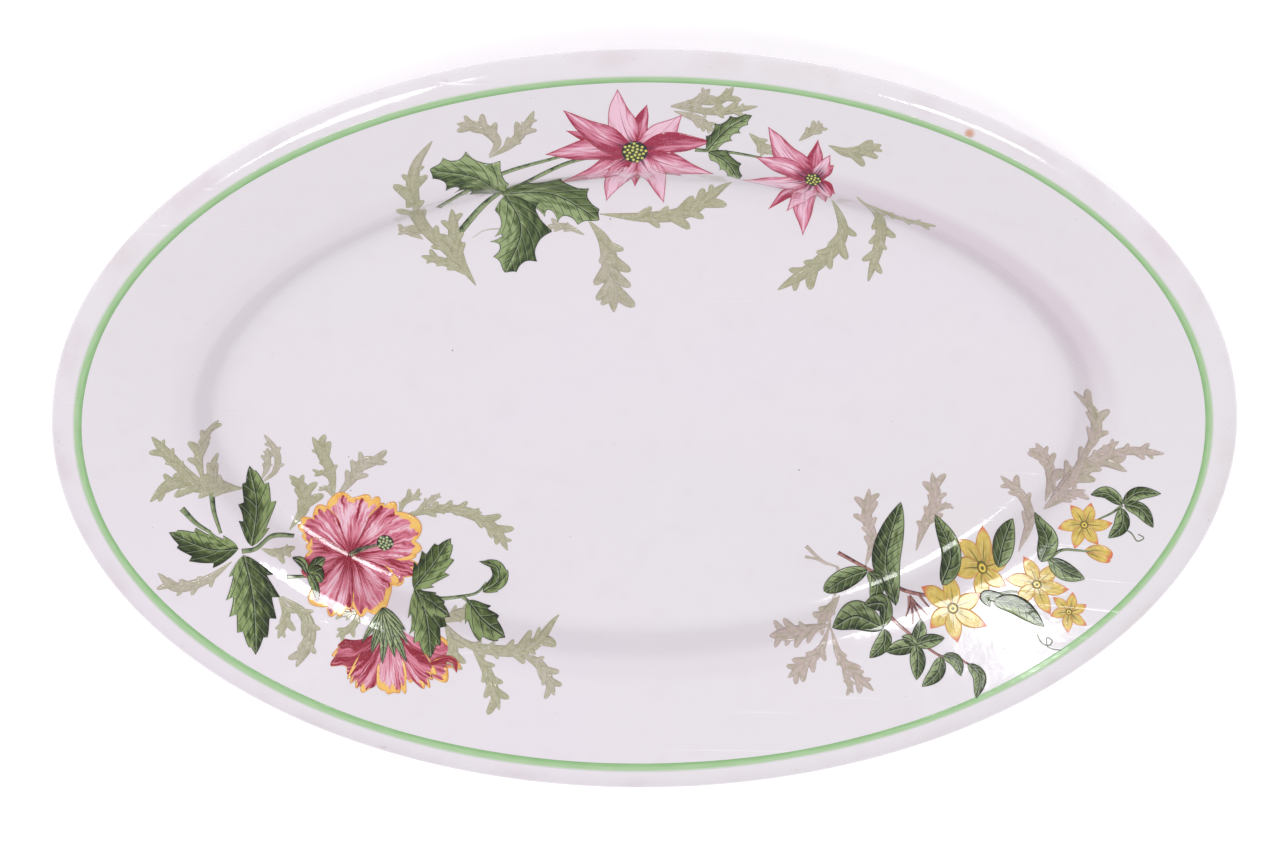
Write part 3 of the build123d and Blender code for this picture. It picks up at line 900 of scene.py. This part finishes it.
def anther_cluster(film, middle, radius, count, dot_radius, ground, anther):
    """A dark disc crowded with round anthers, set out on a sunflower spiral."""
    film.layer += 1
    film.dot(middle, radius, ground, sides=28)
    film.layer += 1
    golden_angle = math.pi * (3 - math.sqrt(5))
    for index in range(count):
        reach = radius * 0.92 * math.sqrt((index + 0.5) / count)
        turn = index * golden_angle
        at = (middle[0] + reach * math.cos(turn), middle[1] + reach * math.sin(turn))
        film.dot(at, dot_radius, anther)


def bowed(base, tip, sag):
    """A line from a base to a tip whose middle is moved aside a little."""
    return [base, ((base[0] + tip[0]) / 2 + sag[0], (base[1] + tip[1]) / 2 + sag[1]), tip]


# The three sprays. Positions are in millimetres from the middle of the ware, +Y towards the top spray. Most
# were read off the photographed print by eye, as pixels, and turned into millimetres by a helper program.

PALE, MID, DEEP = 0.1, 0.45, 0.9


def open_bracts(film, middle, bracts):
    """The front bracts of a bloom, which differ a little in tone and bend to alternate sides."""
    for index, (tip, width, tone) in enumerate(bracts):
        bract(film, middle, tip, width, tone=tone + 0.03 * index, bend=0.05 * (-1) ** index)


def draw_top_blooms():
    """Two pink blooms of pointed bracts, each with a crowded yellow-green middle."""
    film = Film()
    large = (-2, 73.5)
    for tip in ((1, 87.5), (-18.5, 80), (9.5, 64.5), (-2, 60), (-13.5, 65.5)):
        bract(film, large, tip, 4.6, tone=DEEP)
    film.layer += 1
    open_bracts(film, large, (
        ((-6, 92), 7.2, PALE), ((9.5, 84.5), 6.6, PALE), ((17, 76.5), 6.4, DEEP), ((17, 66.5), 6.4, MID),
        ((5, 55.5), 6.6, PALE), ((-9, 56), 7.0, PALE), ((-20, 62.5), 7.0, MID), ((-23.5, 73), 6.8, MID),
        ((-19, 86), 6.8, MID),
    ))
    film.layer += 1
    anther_cluster(film, large, 3.1, 24, 0.44, 1, 2)
    small = (41.0, 65.5)
    film.layer = 0
    for tip in ((42, 77.5), (46, 70), (46.5, 61), (44.5, 56), (30.5, 53.5)):
        bract(film, small, tip, 3.8, tone=DEEP)
    film.layer += 1
    open_bracts(film, small, (
        ((30, 81), 6.6, MID), ((39, 46.5), 5.6, MID), ((24, 64), 5.4, PALE), ((27, 72), 5.2, MID),
        ((35, 53), 5.0, PALE), ((45, 73), 3.8, PALE), ((45.5, 58.5), 3.6, MID),
    ))
    film.layer += 1
    anther_cluster(film, small, 1.9, 15, 0.34, 1, 2)
    film.lay("top_bloom_film", [BRACT, DISC, ANTHER], "pink_print", "top_blooms")


def draw_top_leaves():
    """Holly-like leaves and the stems that carry the two blooms."""
    film = Film()
    stem(film, [(-45.7, 47), (-35.5, 58.8), (-20, 69.5), (-8, 73)], 1.7, 1)
    stem(film, [(-50, 55.7), (-44, 61.5), (-33.5, 67.8), (-19, 72.6)], 1.6, 1)
    stem(film, [(12.5, 74), (21, 73.3), (28.5, 71.8)], 1.1, 1)
    film.layer += 1
    spiny_leaf(film, [(-34, 59.5), (-40, 66.5), (-51.3, 69.5)], 14.4, 4, tone=0.55)
    spiny_leaf(film, [(-34.4, 58.8), (-22.5, 58.2), (-10.8, 51)], 14.2, 4, tone=0.2)
    film.layer += 1
    spiny_leaf(film, [(-33.6, 58.2), (-30, 48.5), (-34, 37)], 15.0, 4, tone=0.8)
    spiny_leaf(film, [(15.4, 73.8), (20, 80), (26, 84.4)], 6.6, 4, tone=0.4)
    spiny_leaf(film, [(15.8, 73.4), (20, 70.5), (23.3, 64.5)], 6.0, 3, tone=0.3)
    film.lay("top_leaf_film", [HOLLY_LEAF, GREEN_STEM], "leaf_print", "top_leaves")


def draw_top_scrolls():
    """Olive and beige scroll fronds round the top spray."""
    film = Film()
    fronds(film, (
        ([(-37, 73), (-35, 77), (-38.5, 81.5), (-44.5, 82.8)], 5.6, 4, 0.9),
        ([(-37, 72.5), (-32, 76), (-28.2, 81), (-26, 86)], 4.6, 4, 0.4),
        ([(-41.3, 33.5), (-47.5, 42), (-54.5, 51), (-55.8, 62), (-54.6, 71), (-50.5, 78)], 6.4, 8, 0.5),
        ([(-41.5, 34), (-44.8, 40), (-46.2, 46), (-46.7, 54.5)], 5.6, 4, 0.1),
        ([(-43, 36), (-48, 39.5), (-54.5, 41.5)], 3.8, 3, 0.1),
        ([(-54, 46), (-57, 48), (-60, 49)], 3.4, 2, 0.7),
        ([(-10.6, 52.5), (1.6, 51.6), (11.5, 53.5), (21.5, 62)], 6.4, 7, 0.2),
        ([(-13.5, 51), (-9.5, 45), (-8, 37), (-7.4, 26)], 8.4, 6, 0.5),
        ([(-14.5, 47), (-19, 49.2), (-24, 49.3)], 2.8, 3, 0.9),
    ))
    stem(film, [(-24, 49.2), (-33, 48.8), (-38.5, 48.4), (-41.8, 46.4)], 0.5, end=0.2)
    fronds(film, (
        ([(6.7, 87), (12.5, 88), (16, 92)], 4.6, 3, 0.8),
        ([(12, 87.8), (18.5, 88.8), (21.6, 92.6)], 4.2, 3, 0.4),
        ([(6.7, 86.8), (17.5, 85.4), (27.4, 87)], 4.0, 5, 0.6),
        ([(7.5, 85.5), (13, 83.2), (17.2, 79.4)], 4.2, 4, 0.9),
        ([(25.5, 79), (28, 76.2), (30, 72.8)], 3.8, 3, 0.5),
        ([(37.5, 77), (40.3, 79.8), (43, 82.2)], 3.8, 3, 0.7),
        ([(44.5, 75.8), (50, 73.8), (57.2, 76.4)], 6.0, 4, 0.7),
        ([(45.9, 57.5), (48.8, 47.5), (44, 40), (33, 31.8)], 6.6, 7, 0.1),
        ([(51.7, 60.5), (57, 53.4), (58, 46), (55.2, 34)], 5.0, 5, 0.3),
        ([(54.5, 58), (62.5, 53.6), (71, 52.6)], 3.4, 4, 0.4),
    ))
    film.lay("top_scroll_film", [SCROLL_OLIVE], "scroll_print", "top_scrolls")


SIDE_RUFFLE = 0.10


def draw_left_blooms():
    """One broad ruffled bloom from the front, with its column of anthers, and one from the side."""
    film = Film()
    throat = (-74.5, -41.0)
    for petals in (
        ((275, 30, 12.0, 0.80, 0.10), (-12, 28, 17.4, 0.66, 0.10)),
        ((84, 34, 17.8, 0.24, 0.11), (132, 28, 15.6, 0.50, 0.10)),
        ((176, 32, 11.6, 0.82, 0.09), (-54, 33, 14.8, 0.38, 0.11)),
        ((28, 37, 19.4, 0.36, 0.10, 5), (240, 38, 13.0, 0.52, 0.11)),
    ):
        for petal in petals:
            film.fan(throat, *petal)
        film.layer += 1
    stem(film, [throat, (-70.5, -39.4), (-66.8, -38.2)], 1.0, 1, end=0.8)
    stem(film, [(-74.6, -40.6), (-72.2, -39.3), (-69.6, -38.6)], 0.6, 1)
    anther_cluster(film, (-65.6, -37.8), 2.1, 16, 0.42, 2, 3)
    film.layer = 0
    tube = (-64.6, -53.6)
    sides = ((246, 17, 18.8, -22, 0.98), (294, 17, 22.6, 22, 0.50))
    between = ((258, 15, 20.6, -11, 0.86), (284, 14, 21.2, 12, 0.62))
    middle = ((271, 15, 21.0, 0, 0.42),)
    for petals in (sides, between, middle):
        for angle, spread, reach, bend, tone in petals:
            film.fan(tube, angle, spread, reach, tone, SIDE_RUFFLE, narrow=0.35, bend=bend)
        film.layer += 1
    curled_petal = [(-54.6, -67.0), (-51.2, -65.8), (-48.6, -66.4), (-47.9, -69.4)]
    plain_leaf(film, curled_petal, 1.8, rise=0.35, fall=0.6, tone=1.25)
    film.lay("left_bloom_film", [RUFFLED, DARK_STEM, DISC, PALE_ANTHER], "pink_print", "left_blooms")


def draw_left_leaves():
    """Toothed leaves, stems, calyx and bud of the lower left spray."""
    film = Film()
    stem(film, [(-115.3, -22.2), (-112, -26.4), (-108.6, -29.2)], 1.5, 1)
    stem(film, [(-107.9, -19.2), (-107.5, -24), (-106, -29.8)], 1.4, 1)
    stem(film, [(-101, -35), (-97.7, -34.8), (-93.9, -33), (-88.3, -34.6)], 1.3, 1)
    stem(film, [(-58.6, -50.6), (-53, -53.2), (-46, -53.1), (-42.5, -52.2), (-40.2, -49.5)], 1.1, 1)
    stem(film, [(-46.5, -53.2), (-44.2, -55)], 1.0, 1)
    stem(film, [(-90, -42.6), (-83.5, -43.2)], 1.0, 1)
    stem(film, [(-68.2, -51), (-66, -55)], 1.6, 1)
    film.layer += 1
    toothed_leaf(film, [(-98.4, -34), (-97.2, -26), (-98.9, -15.8)], 9.4, 4, 0.30, tone=0.5)
    toothed_leaf(film, [(-101.8, -34.2), (-109, -33.4), (-118.6, -28)], 9.8, 4, 0.30, tone=0.8)
    film.layer += 1
    for points, width, teeth, depth, tone in (
        ([(-100.6, -36), (-98.6, -47), (-98.2, -61.6)], 13.6, 5, 0.30, 0.75),
        ([(-58.6, -50.6), (-54, -45), (-49, -36.8)], 10.0, 4, 0.32, 0.3),
        ([(-58.4, -50.8), (-55.4, -56.8), (-54.6, -65.5)], 10.2, 4, 0.34, 0.25),
        ([(-57.5, -51.5), (-54, -54), (-49.5, -57)], 4.8, 3, 0.30, 0.35),
        ([(-41.2, -52.2), (-37.2, -49), (-37.6, -44.8), (-42, -43.4)], 4.8, 3, 0.20, 0.45),
        ([(-45.2, -54.2), (-41.5, -58.4), (-35.6, -62)], 7.4, 3, 0.32, 0.3),
    ):
        toothed_leaf(film, points, width, teeth, depth, tone=tone)
    film.layer += 1
    for tip, width in (
        ((-69.4, -63.4), 2.1), ((-66.6, -66.2), 2.2), ((-63.4, -64.8), 2.2), ((-60.4, -66.2), 2.2),
    ):
        plain_leaf(film, bowed((-65.7, -54.8), tip, (0.1, 0.3)), width, 2, tone=0.2)
    film.layer += 1
    for tip, width in (
        ((-71.6, -60.6), 1.6), ((-69.4, -62.0), 1.4), ((-66.4, -61.6), 1.5), ((-63.6, -62.2), 1.6),
        ((-60.0, -61.4), 1.8), ((-60.6, -58.2), 1.5),
    ):
        plain_leaf(film, bowed((-66.4, -52.6), tip, (0.1, 0.2)), width, 2, tone=0.1)
    for tip, width in (
        ((-88.6, -38.4), 1.6), ((-80.6, -40.8), 3.2), ((-81.2, -45), 3.4), ((-82.4, -49.6), 2.0),
    ):
        plain_leaf(film, bowed((-84.8, -42.4), tip, (0.6, 0.3)), width, tone=0.4)
    film.lay("left_leaf_film", [TOOTHED_LEAF, GREEN_STEM, CALYX], "leaf_print", "left_leaves")


def draw_left_scrolls():
    """Olive scroll fronds round the lower left spray."""
    film = Film()
    fronds(film, (
        ([(-109, -16.8), (-114.4, -12.3), (-118.6, -6.8), (-121.8, -2)], 5.0, 4),
        ([(-109.8, -16), (-110.8, -9.5), (-109, -5), (-106, -2.6)], 4.4, 4),
        ([(-100.4, -21.1), (-109.5, -17.6), (-117.4, -15.2), (-122.9, -19.4)], 6.0, 5),
        ([(-101.2, -21), (-106.6, -17.4), (-108.8, -11.6)], 4.2, 4),
        ([(-96.2, -20.8), (-92.4, -17.2), (-92, -12.4), (-94.9, -7.3)], 3.0, 3),
        ([(-96, -19.6), (-94.6, -16.4), (-94.2, -11)], 3.0, 3),
        ([(-103.5, -37.4), (-110, -41.4), (-117.4, -42.4), (-121.7, -38.3)], 4.8, 5),
        ([(-92.2, -46.9), (-90.4, -52.2), (-92.5, -58)], 4.0, 3),
        ([(-91.4, -47.4), (-85.8, -52.8), (-84.8, -59), (-88.2, -65.6)], 6.0, 4),
        ([(-89.4, -33.2), (-86, -28.6), (-85.6, -23), (-89, -18.7)], 6.0, 4),
        ([(-78, -25), (-78.7, -17.6), (-80.6, -13), (-82.9, -8)], 5.0, 4),
        ([(-78.2, -21), (-80.2, -18), (-82.8, -18.9)], 2.6, 2),
        ([(-78.3, -25), (-79.8, -22.4), (-82, -23)], 2.2, 2),
        ([(-77.7, -25.4), (-73.4, -19.8), (-70, -14.9), (-64.4, -15.2)], 5.2, 5),
        ([(-63, -31.4), (-54.6, -28.8), (-47.8, -28.4), (-41, -29.6)], 4.2, 6),
        ([(-50, -28.8), (-42.2, -31), (-37.4, -34.8), (-34.8, -40.3)], 5.0, 5),
        ([(-61.8, -30), (-60.4, -26.4), (-56, -24)], 3.2, 3),
        ([(-57, -29.2), (-54.6, -26.8), (-51.4, -24)], 2.8, 2),
        ([(-52, -57.6), (-48.4, -57), (-43.2, -56.8)], 4.0, 3),
        ([(-51, -57.8), (-44.5, -62.8), (-34.4, -64.8), (-27.3, -63.4), (-22, -58.6)], 4.8, 8),
        ([(-50.6, -58.6), (-48.9, -62.6), (-48.6, -68.6)], 4.6, 3),
        ([(-44, -63.4), (-40.2, -69.6), (-37.2, -79.2)], 5.2, 4),
        ([(-32.4, -65.2), (-26.6, -68.6), (-23.2, -76)], 5.0, 4),
        ([(-96.2, -34.9), (-92.6, -36.6), (-88, -36.9)], 3.2, 2),
        ([(-71.8, -51.4), (-73.6, -56), (-78, -58.8)], 3.4, 3),
        ([(-72.4, -52.8), (-75.2, -53.2), (-78.2, -52.2)], 2.6, 2),
    ))
    film.lay("left_scroll_film", [SCROLL_OLIVE], "scroll_print", "left_scrolls")


PETALS = 6


def star_flower(film, middle, radius, turn):
    """A small yellow trumpet flower with pointed petals, seen from the front."""
    for petal in range(PETALS):
        angle = turn + 2 * math.pi * (petal + 0.22 * random.random()) / PETALS
        reach = radius * (0.88 + 0.24 * random.random())
        tip = (middle[0] + reach * math.cos(angle), middle[1] + reach * math.sin(angle))
        sag = (0.05 * reach * math.sin(angle), -0.05 * reach * math.cos(angle))
        plain_leaf(film, bowed(middle, tip, sag), radius * 0.50, rise=0.95, fall=1.10, columns=11)
    film.layer += 1
    film.dot(middle, radius * 0.16, 1, sides=20)
    film.layer += 1
    film.dot(middle, radius * 0.11, 2, sides=16)
    film.layer += 1
    film.dot(middle, radius * 0.05, 1)


def draw_right_blooms():
    """Five small yellow trumpet flowers and a bud."""
    film = Film()
    for middle, radius, turn in (
        ((109.6, -28.4), 6.4, 0.1), ((84.7, -42.2), 8.0, 0.35), ((98.2, -44.8), 7.4, 0.8),
        ((77.4, -52.4), 8.6, 0.55), ((106.2, -51.2), 5.2, 0.3),
    ):
        film.layer = 0
        star_flower(film, middle, radius, turn)
    film.layer = 0
    plain_leaf(film, [(109.8, -35.2), (113.4, -34.8), (116.6, -36.2)], 3.4, 0, tone=0.2, rise=0.6, fall=0.35)
    plain_leaf(film, [(110.4, -35.6), (113.2, -36.4), (116.2, -37.2)], 2.2, 0, tone=0.6, rise=0.6, fall=0.5)
    film.lay("right_bloom_film", [TRUMPET, TRUMPET_EYE, TRUMPET_RING], "yellow_print", "right_blooms")


def draw_right_leaves():
    """Smooth pointed leaves, woody stems and tendrils of the lower right spray."""
    film = Film()
    bark, green = 1, 2
    stem(film, [(48.7, -41.5), (57.3, -46.8), (64, -50.2), (72, -50.2)], 1.1, bark)
    lower_branch = [(57.3, -47.6), (59.3, -53), (65.5, -58.6), (73.8, -64.4), (78, -64.6), (81.5, -66.4)]
    stem(film, lower_branch, 1.0, bark)
    stem(film, [(69, -50.4), (71.5, -52.6)], 0.7, bark)
    stem(film, [(59.6, -57.6), (61.2, -56), (61, -52.8)], 0.7, bark)
    for tip in ((69.6, -56.4), (67.4, -57), (71.2, -54.6), (65.6, -55.4)):
        stem(film, bowed((66.6, -51.2), tip, (0.3, 0)), 0.9, bark, end=0.3)
    stem(film, [(118.8, -22.2), (116.2, -24.6), (113, -26.6)], 0.7, green)
    stem(film, [(100.6, -38.6), (104, -35.6), (108, -35.2), (111, -35.2)], 0.9, green)
    stem(film, [(88.5, -48), (92, -47.2), (95, -47.6)], 0.7, green)
    for tendril in (
        [(118.8, -28.4), (121, -29.2), (122.6, -31.2), (124.2, -30.2), (122.8, -29.4)],
        [
            (98.4, -57.6), (99.6, -59.6), (101.4, -60.2), (102.2, -58.9), (100.9, -58.2), (101.2, -60.6),
            (104.4, -61.2),
        ],
    ):
        stem(film, tendril, 0.35, green, end=0.7)
    film.layer += 1
    plain_leaf(film, [(63.2, -53.4), (60.9, -43), (64.3, -27.2)], 7.4, tone=0.7, rise=0.7)
    plain_leaves(film, (
        ([(74.8, -47.6), (77.2, -41), (73, -30.8)], 5.0, 0.6),
        ([(88.6, -41.4), (90, -36.5), (92.4, -30.8)], 4.8, 0.3),
        ([(99.2, -39), (100.8, -33), (97.6, -27.8)], 5.0, 0.5),
        ([(101.2, -38.2), (105, -40.8), (110, -42.4)], 4.8, 0.4),
        ([(118.8, -22), (115, -19.4), (111, -20.4)], 3.4, 0.5),
        ([(119, -21.8), (122.6, -18.6), (128, -18)], 3.4, 0.4),
        ([(119.2, -22.2), (123.2, -23), (126.4, -27.2)], 3.8, 0.5),
        ([(118.6, -23), (118.6, -27.6), (115.6, -31.2)], 3.8, 0.4),
    ))
    plain_leaf(film, [(56.2, -46.4), (51, -48.6), (45.2, -52.4)], 5.6, tone=0.5, fall=0.6)
    plain_leaves(film, (
        ([(56.4, -47), (58.6, -50), (57.2, -54.6)], 3.8, 0.3),
        ([(60.2, -58.2), (53.5, -56.6), (47.2, -59.4)], 5.4, 0.45),
        ([(60.2, -58), (60.4, -53.6), (55.2, -54.4)], 3.4, 0.6),
        ([(60.4, -58.6), (60, -62), (56.6, -66)], 4.0, 0.3),
    ))
    for tip, width in (
        ((60.6, -64.2), 4.0), ((69.4, -55.6), 3.6), ((75.4, -60), 3.6), ((68.4, -71), 4.0),
        ((64.6, -60.2), 2.6),
    ):
        plain_leaf(film, bowed((68.2, -62.2), tip, (0.4, 0.3)), width, tone=0.4)
    plain_leaves(film, (
        ([(74.6, -64.8), (73.4, -69), (69.8, -72.6)], 3.8, 0.4),
        ([(75, -64.6), (78.2, -65.6), (79.6, -69.4)], 3.2, 0.3),
        ([(81.4, -66.2), (84.2, -69.4), (83.4, -74.8)], 3.4, 0.3),
        ([(86.6, -51.4), (85.6, -48.6), (92.6, -49.6)], 2.8, 0.9),
        ([(87.4, -50), (93.4, -50.6), (100.2, -55.4)], 5.0, 0.35),
    ))
    film.lay("right_leaf_film", [SMOOTH_LEAF, BARK_STEM, GREEN_STEM], "leaf_print", "right_leaves")


def draw_right_scrolls():
    """Beige and olive scroll fronds round the lower right spray."""
    film = Film()
    fronds(film, (
        ([(55.6, -45.6), (57.3, -38.1), (55.8, -31), (56.3, -23.4)], 5.0, 6, 0.9),
        ([(68.4, -41), (70.3, -34), (73, -27), (72, -19)], 5.6, 6, 0.2),
        ([(72.6, -30), (74.6, -28.6), (77, -28)], 2.6, 2, 0.0),
    ))
    stem(film, [(40.6, -39.6), (44.7, -43.8), (48.6, -45.6)], 1.0, end=0.5)
    stem(film, [(40.4, -42.6), (43.4, -43.4), (46, -45)], 0.8, end=0.5)
    stem(film, [(48.6, -45.6), (49, -50), (47, -56), (46.6, -60)], 0.8)
    fronds(film, (
        ([(49.2, -53.4), (46.4, -56.8), (43.6, -59.2)], 4.0, 3, 0.3),
        ([(46.6, -59), (39.6, -61), (31.4, -62.4)], 4.4, 5, 0.8),
        ([(46.4, -59.4), (43.6, -65), (36, -71.6)], 4.8, 5, 0.6),
        ([(46.9, -59.6), (49.9, -67.2), (57.6, -74.2)], 4.4, 5, 0.5),
        ([(49.6, -67), (50.8, -71), (52.4, -75)], 2.8, 2, 0.5),
        ([(100.2, -25.6), (106, -18), (108.6, -12.4), (111.4, -7)], 2.4, 3, 0.7),
        ([(108.8, -11.4), (111.8, -4.4), (111, 1.6), (106.6, 4.4)], 5.0, 4, 0.5),
        ([(100.2, -24.8), (101.6, -18.4), (97.8, -10.8)], 5.0, 5, 0.9),
        ([(93.6, -37), (96.3, -28), (89.2, -20)], 4.4, 5, 0.9),
        ([(101.4, -23.6), (107.2, -16.6), (113, -11.2), (119.6, -13.2)], 6.2, 5, 0.5),
        ([(109.2, -12.4), (113, -9), (117.4, -5.4)], 3.0, 3, 0.6),
        ([(111, -12), (119, -7.8), (128.4, -7.2)], 4.0, 4, 0.9),
        ([(99.8, -26.4), (104.2, -22.2), (109.8, -19.4)], 3.8, 4, 0.9),
    ))
    film.lay("right_scroll_film", [SCROLL_BEIGE], "scroll_print", "right_scrolls")


# The ware and its line


def build_ware():
    """The glazed platter as one closed mesh, with the unglazed dry foot as its second material."""
    rings = [ring(HALF_LENGTH - x, z) for x, z in SECTION]
    insets = [HALF_LENGTH - x for x, z in SECTION]
    shares = [step / FLOOR_RINGS for step in range(1, FLOOR_RINGS)]
    face_middle = [rings[0] * (share, share, 1) for share in shares]
    base_middle = [rings[-1] * (share, share, 1) for share in reversed(shares)]
    rings = face_middle + rings + base_middle
    insets = [CUT_INSET] * len(face_middle) + insets + [CUT_INSET] * len(base_middle)
    points = np.vstack([*rings, [(0, 0, FLOOR_Z)], [(0, 0, BASE_Z)]])
    face_centre, base_centre = len(points) - 2, len(points) - 1
    faces = [tuple(reversed(face)) for face in band_faces(len(rings), AROUND, True)]
    dry_first = (len(face_middle) + DRY_START) * AROUND
    dry_last = (len(face_middle) + DRY_END) * AROUND
    materials = [1 if dry_first <= index < dry_last else 0 for index in range(len(faces))]
    last = (len(rings) - 1) * AROUND
    for column in range(AROUND):
        after = (column + 1) % AROUND
        faces.append((column, after, face_centre))
        faces.append((last + after, last + column, base_centre))
    materials.extend([0] * (2 * AROUND))
    turn_shares = np.tile(np.arange(AROUND) / AROUND, len(rings))
    data = np.stack([np.repeat(insets, AROUND), turn_shares, np.zeros(len(turn_shares))], axis=1)
    data = np.vstack([data, [(CUT_INSET, 0, 0)], [(CUT_INSET, 0, 0)]])
    piece = make_object("platter_ware", points, faces, [WARE, FOOT], materials, {"ware": data})
    stand_for(piece, "glaze", "china_body", "face_glaze", "base_glaze")


LINE_HALF = 1.02
LINE_COLUMNS = 9


def build_line():
    """The green band, brushed a little wider at one end than along the sides."""
    brush = 0.05 * np.sin(3 * TURNS + 1) + 0.04 * np.sin(7 * TURNS) + 0.03 * np.sin(17 * TURNS + 2)
    half = LINE_HALF + 0.10 * np.cos(TURNS - np.pi) + brush
    drift = 0.33 * np.cos(TURNS - np.radians(330)) - 0.15
    rings, marks = [], []
    for across in np.linspace(-1, 1, LINE_COLUMNS):
        inset = LINE_INSET + drift - across * half
        height = np.interp(HALF_LENGTH - inset, FACE[:, 0], FACE[:, 1]) + FILM_LIFT
        rings.append(ring(inset, height))
        marks.append(np.stack([TURNS / (2 * np.pi), np.full(AROUND, across), np.zeros(AROUND)], axis=1))
    faces = band_faces(LINE_COLUMNS, AROUND, True)
    piece = make_object("green_band", np.vstack(rings), faces, [LINE], attributes={"mark": np.vstack(marks)})
    thicken(piece, 1)
    stand_for(piece, "green_line", "green_line")


# The studio

VIEW_TILT = 26.7
VIEW_DISTANCE = 1.25
VIEW_ROLL = 0.32
VIEW_LENS = 142.9
SENSOR = 36.0
VIEW_SHIFT = (-0.00359375, 0.0071875)
FAR_AWAY = 100
LIGHT_DISTANCE = 6.0
FLOOR_HALF = 6.0
FLOOR_GAP = 0.2 * MM
PAPER_GLOW = 0.28
PAPER_ROUGHNESS = 0.9


def add_camera():
    """A long lens above the ware, tipped towards the top spray's side."""
    data = bpy.data.cameras.new("camera")
    data.sensor_width = SENSOR
    data.lens = VIEW_LENS
    data.shift_x, data.shift_y = VIEW_SHIFT
    data.clip_end = FAR_AWAY
    camera = bpy.data.objects.new("camera", data)
    bpy.context.scene.collection.objects.link(camera)
    back = Vector((0, sin_deg(VIEW_TILT), cos_deg(VIEW_TILT)))
    up = Vector((0, cos_deg(VIEW_TILT), -sin_deg(VIEW_TILT)))
    right = Vector((1, 0, 0))
    rolled_right = right * cos_deg(VIEW_ROLL) - up * sin_deg(VIEW_ROLL)
    rolled_up = right * sin_deg(VIEW_ROLL) + up * cos_deg(VIEW_ROLL)
    turn = Matrix((rolled_right, rolled_up, back)).transposed().to_4x4()
    camera.matrix_world = Matrix.Translation(back * VIEW_DISTANCE + Vector((0, 0, LINE_TOP * MM))) @ turn
    bpy.context.scene.camera = camera


def add_softbox(name, direction, width, height, roll, radiance, glint):
    """A far softbox that faces the ware, and a twin that only adds to its reflection in polished glaze.

    Width and height are as seen from the ware, for a distance of one; roll turns the box about its own axis.
    """
    towards = Vector(direction).normalized()
    side = Vector((0, 1, 0)).cross(towards).normalized()
    facing = Matrix((side, towards.cross(side), towards)).transposed().to_4x4()
    turn = facing @ Matrix.Rotation(math.radians(roll), 4, "Z")
    for suffix, strength in (("", radiance), ("_glint", glint)):
        data = bpy.data.lights.new(name + suffix, "AREA")
        data.shape = "RECTANGLE"
        data.size = width * LIGHT_DISTANCE
        data.size_y = height * LIGHT_DISTANCE
        data.energy = strength * math.pi * data.size * data.size_y
        light = bpy.data.objects.new(name + suffix, data)
        light.matrix_world = Matrix.Translation(towards * LIGHT_DISTANCE) @ turn
        light.visible_diffuse = suffix == ""
        bpy.context.scene.collection.objects.link(light)


def add_world(glow, seen, behind):
    """Pale light from everywhere, a little more of it from behind; the camera sees a paler backdrop."""
    world = bpy.data.worlds.new("studio")
    world.use_nodes = True
    nodes, links = world.node_tree.nodes, world.node_tree.links
    background = nodes["Background"]
    split = nodes.new("ShaderNodeSeparateXYZ")
    links.new(nodes.new("ShaderNodeTexCoord").outputs["Generated"], split.inputs[0])
    lean = nodes.new("ShaderNodeMath")
    lean.operation = "MULTIPLY_ADD"
    links.new(split.outputs["Y"], lean.inputs[0])
    lean.inputs[1].default_value = behind
    lean.inputs[2].default_value = 1.0
    links.new(lean.outputs[0], background.inputs["Strength"])
    path = nodes.new("ShaderNodeLightPath")
    mix = nodes.new("ShaderNodeMix")
    mix.data_type = "RGBA"
    links.new(path.outputs["Is Camera Ray"], mix.inputs["Factor"])
    mix.inputs[6].default_value = glow
    mix.inputs[7].default_value = seen
    links.new(mix.outputs[2], background.inputs["Color"])
    bpy.context.scene.world = world


def add_floor():
    """A large sheet of pale paper under the foot."""
    mesh = bpy.data.meshes.new("floor")
    corners = [(x * FLOOR_HALF, y * FLOOR_HALF, 0) for x, y in ((-1, -1), (1, -1), (1, 1), (-1, 1))]
    mesh.from_pydata(corners, [], [(0, 1, 2, 3)])
    floor = bpy.data.objects.new("floor", mesh)
    floor.location.z = CAD_BOX[0][2] - FLOOR_GAP
    bpy.context.scene.collection.objects.link(floor)
    shader = Shader("floor_paper")
    grain = shader.noise(shader.place(), 40.0, 3.0)
    shader.colour = shader.mix(grain, srgb(250, 250, 250), srgb(246, 246, 247))
    glow = {"Emission Color": (1, 1, 1, 1), "Emission Strength": PAPER_GLOW, "Specular IOR Level": 0.0}
    mesh.materials.append(shader.surface(PAPER_ROUGHNESS, **glow))


build_ware()
build_line()
draw_top_scrolls()
draw_top_leaves()
draw_top_blooms()
draw_left_scrolls()
draw_left_leaves()
draw_left_blooms()
draw_right_scrolls()
draw_right_leaves()
draw_right_blooms()

add_floor()
add_world(glow=(0.65, 0.64, 0.655, 1), seen=(1.2, 1.2, 1.2, 1), behind=0.12)
add_softbox("left_softbox", (-0.2475, 0.10, 0.965), width=0.125, height=0.36, roll=0, radiance=13, glint=9)
add_softbox("right_softbox", (0.272, 0.048, 0.961), width=0.14, height=0.15, roll=-30, radiance=19, glint=5)
add_camera()
bpy.context.scene.view_settings.view_transform = "Standard"
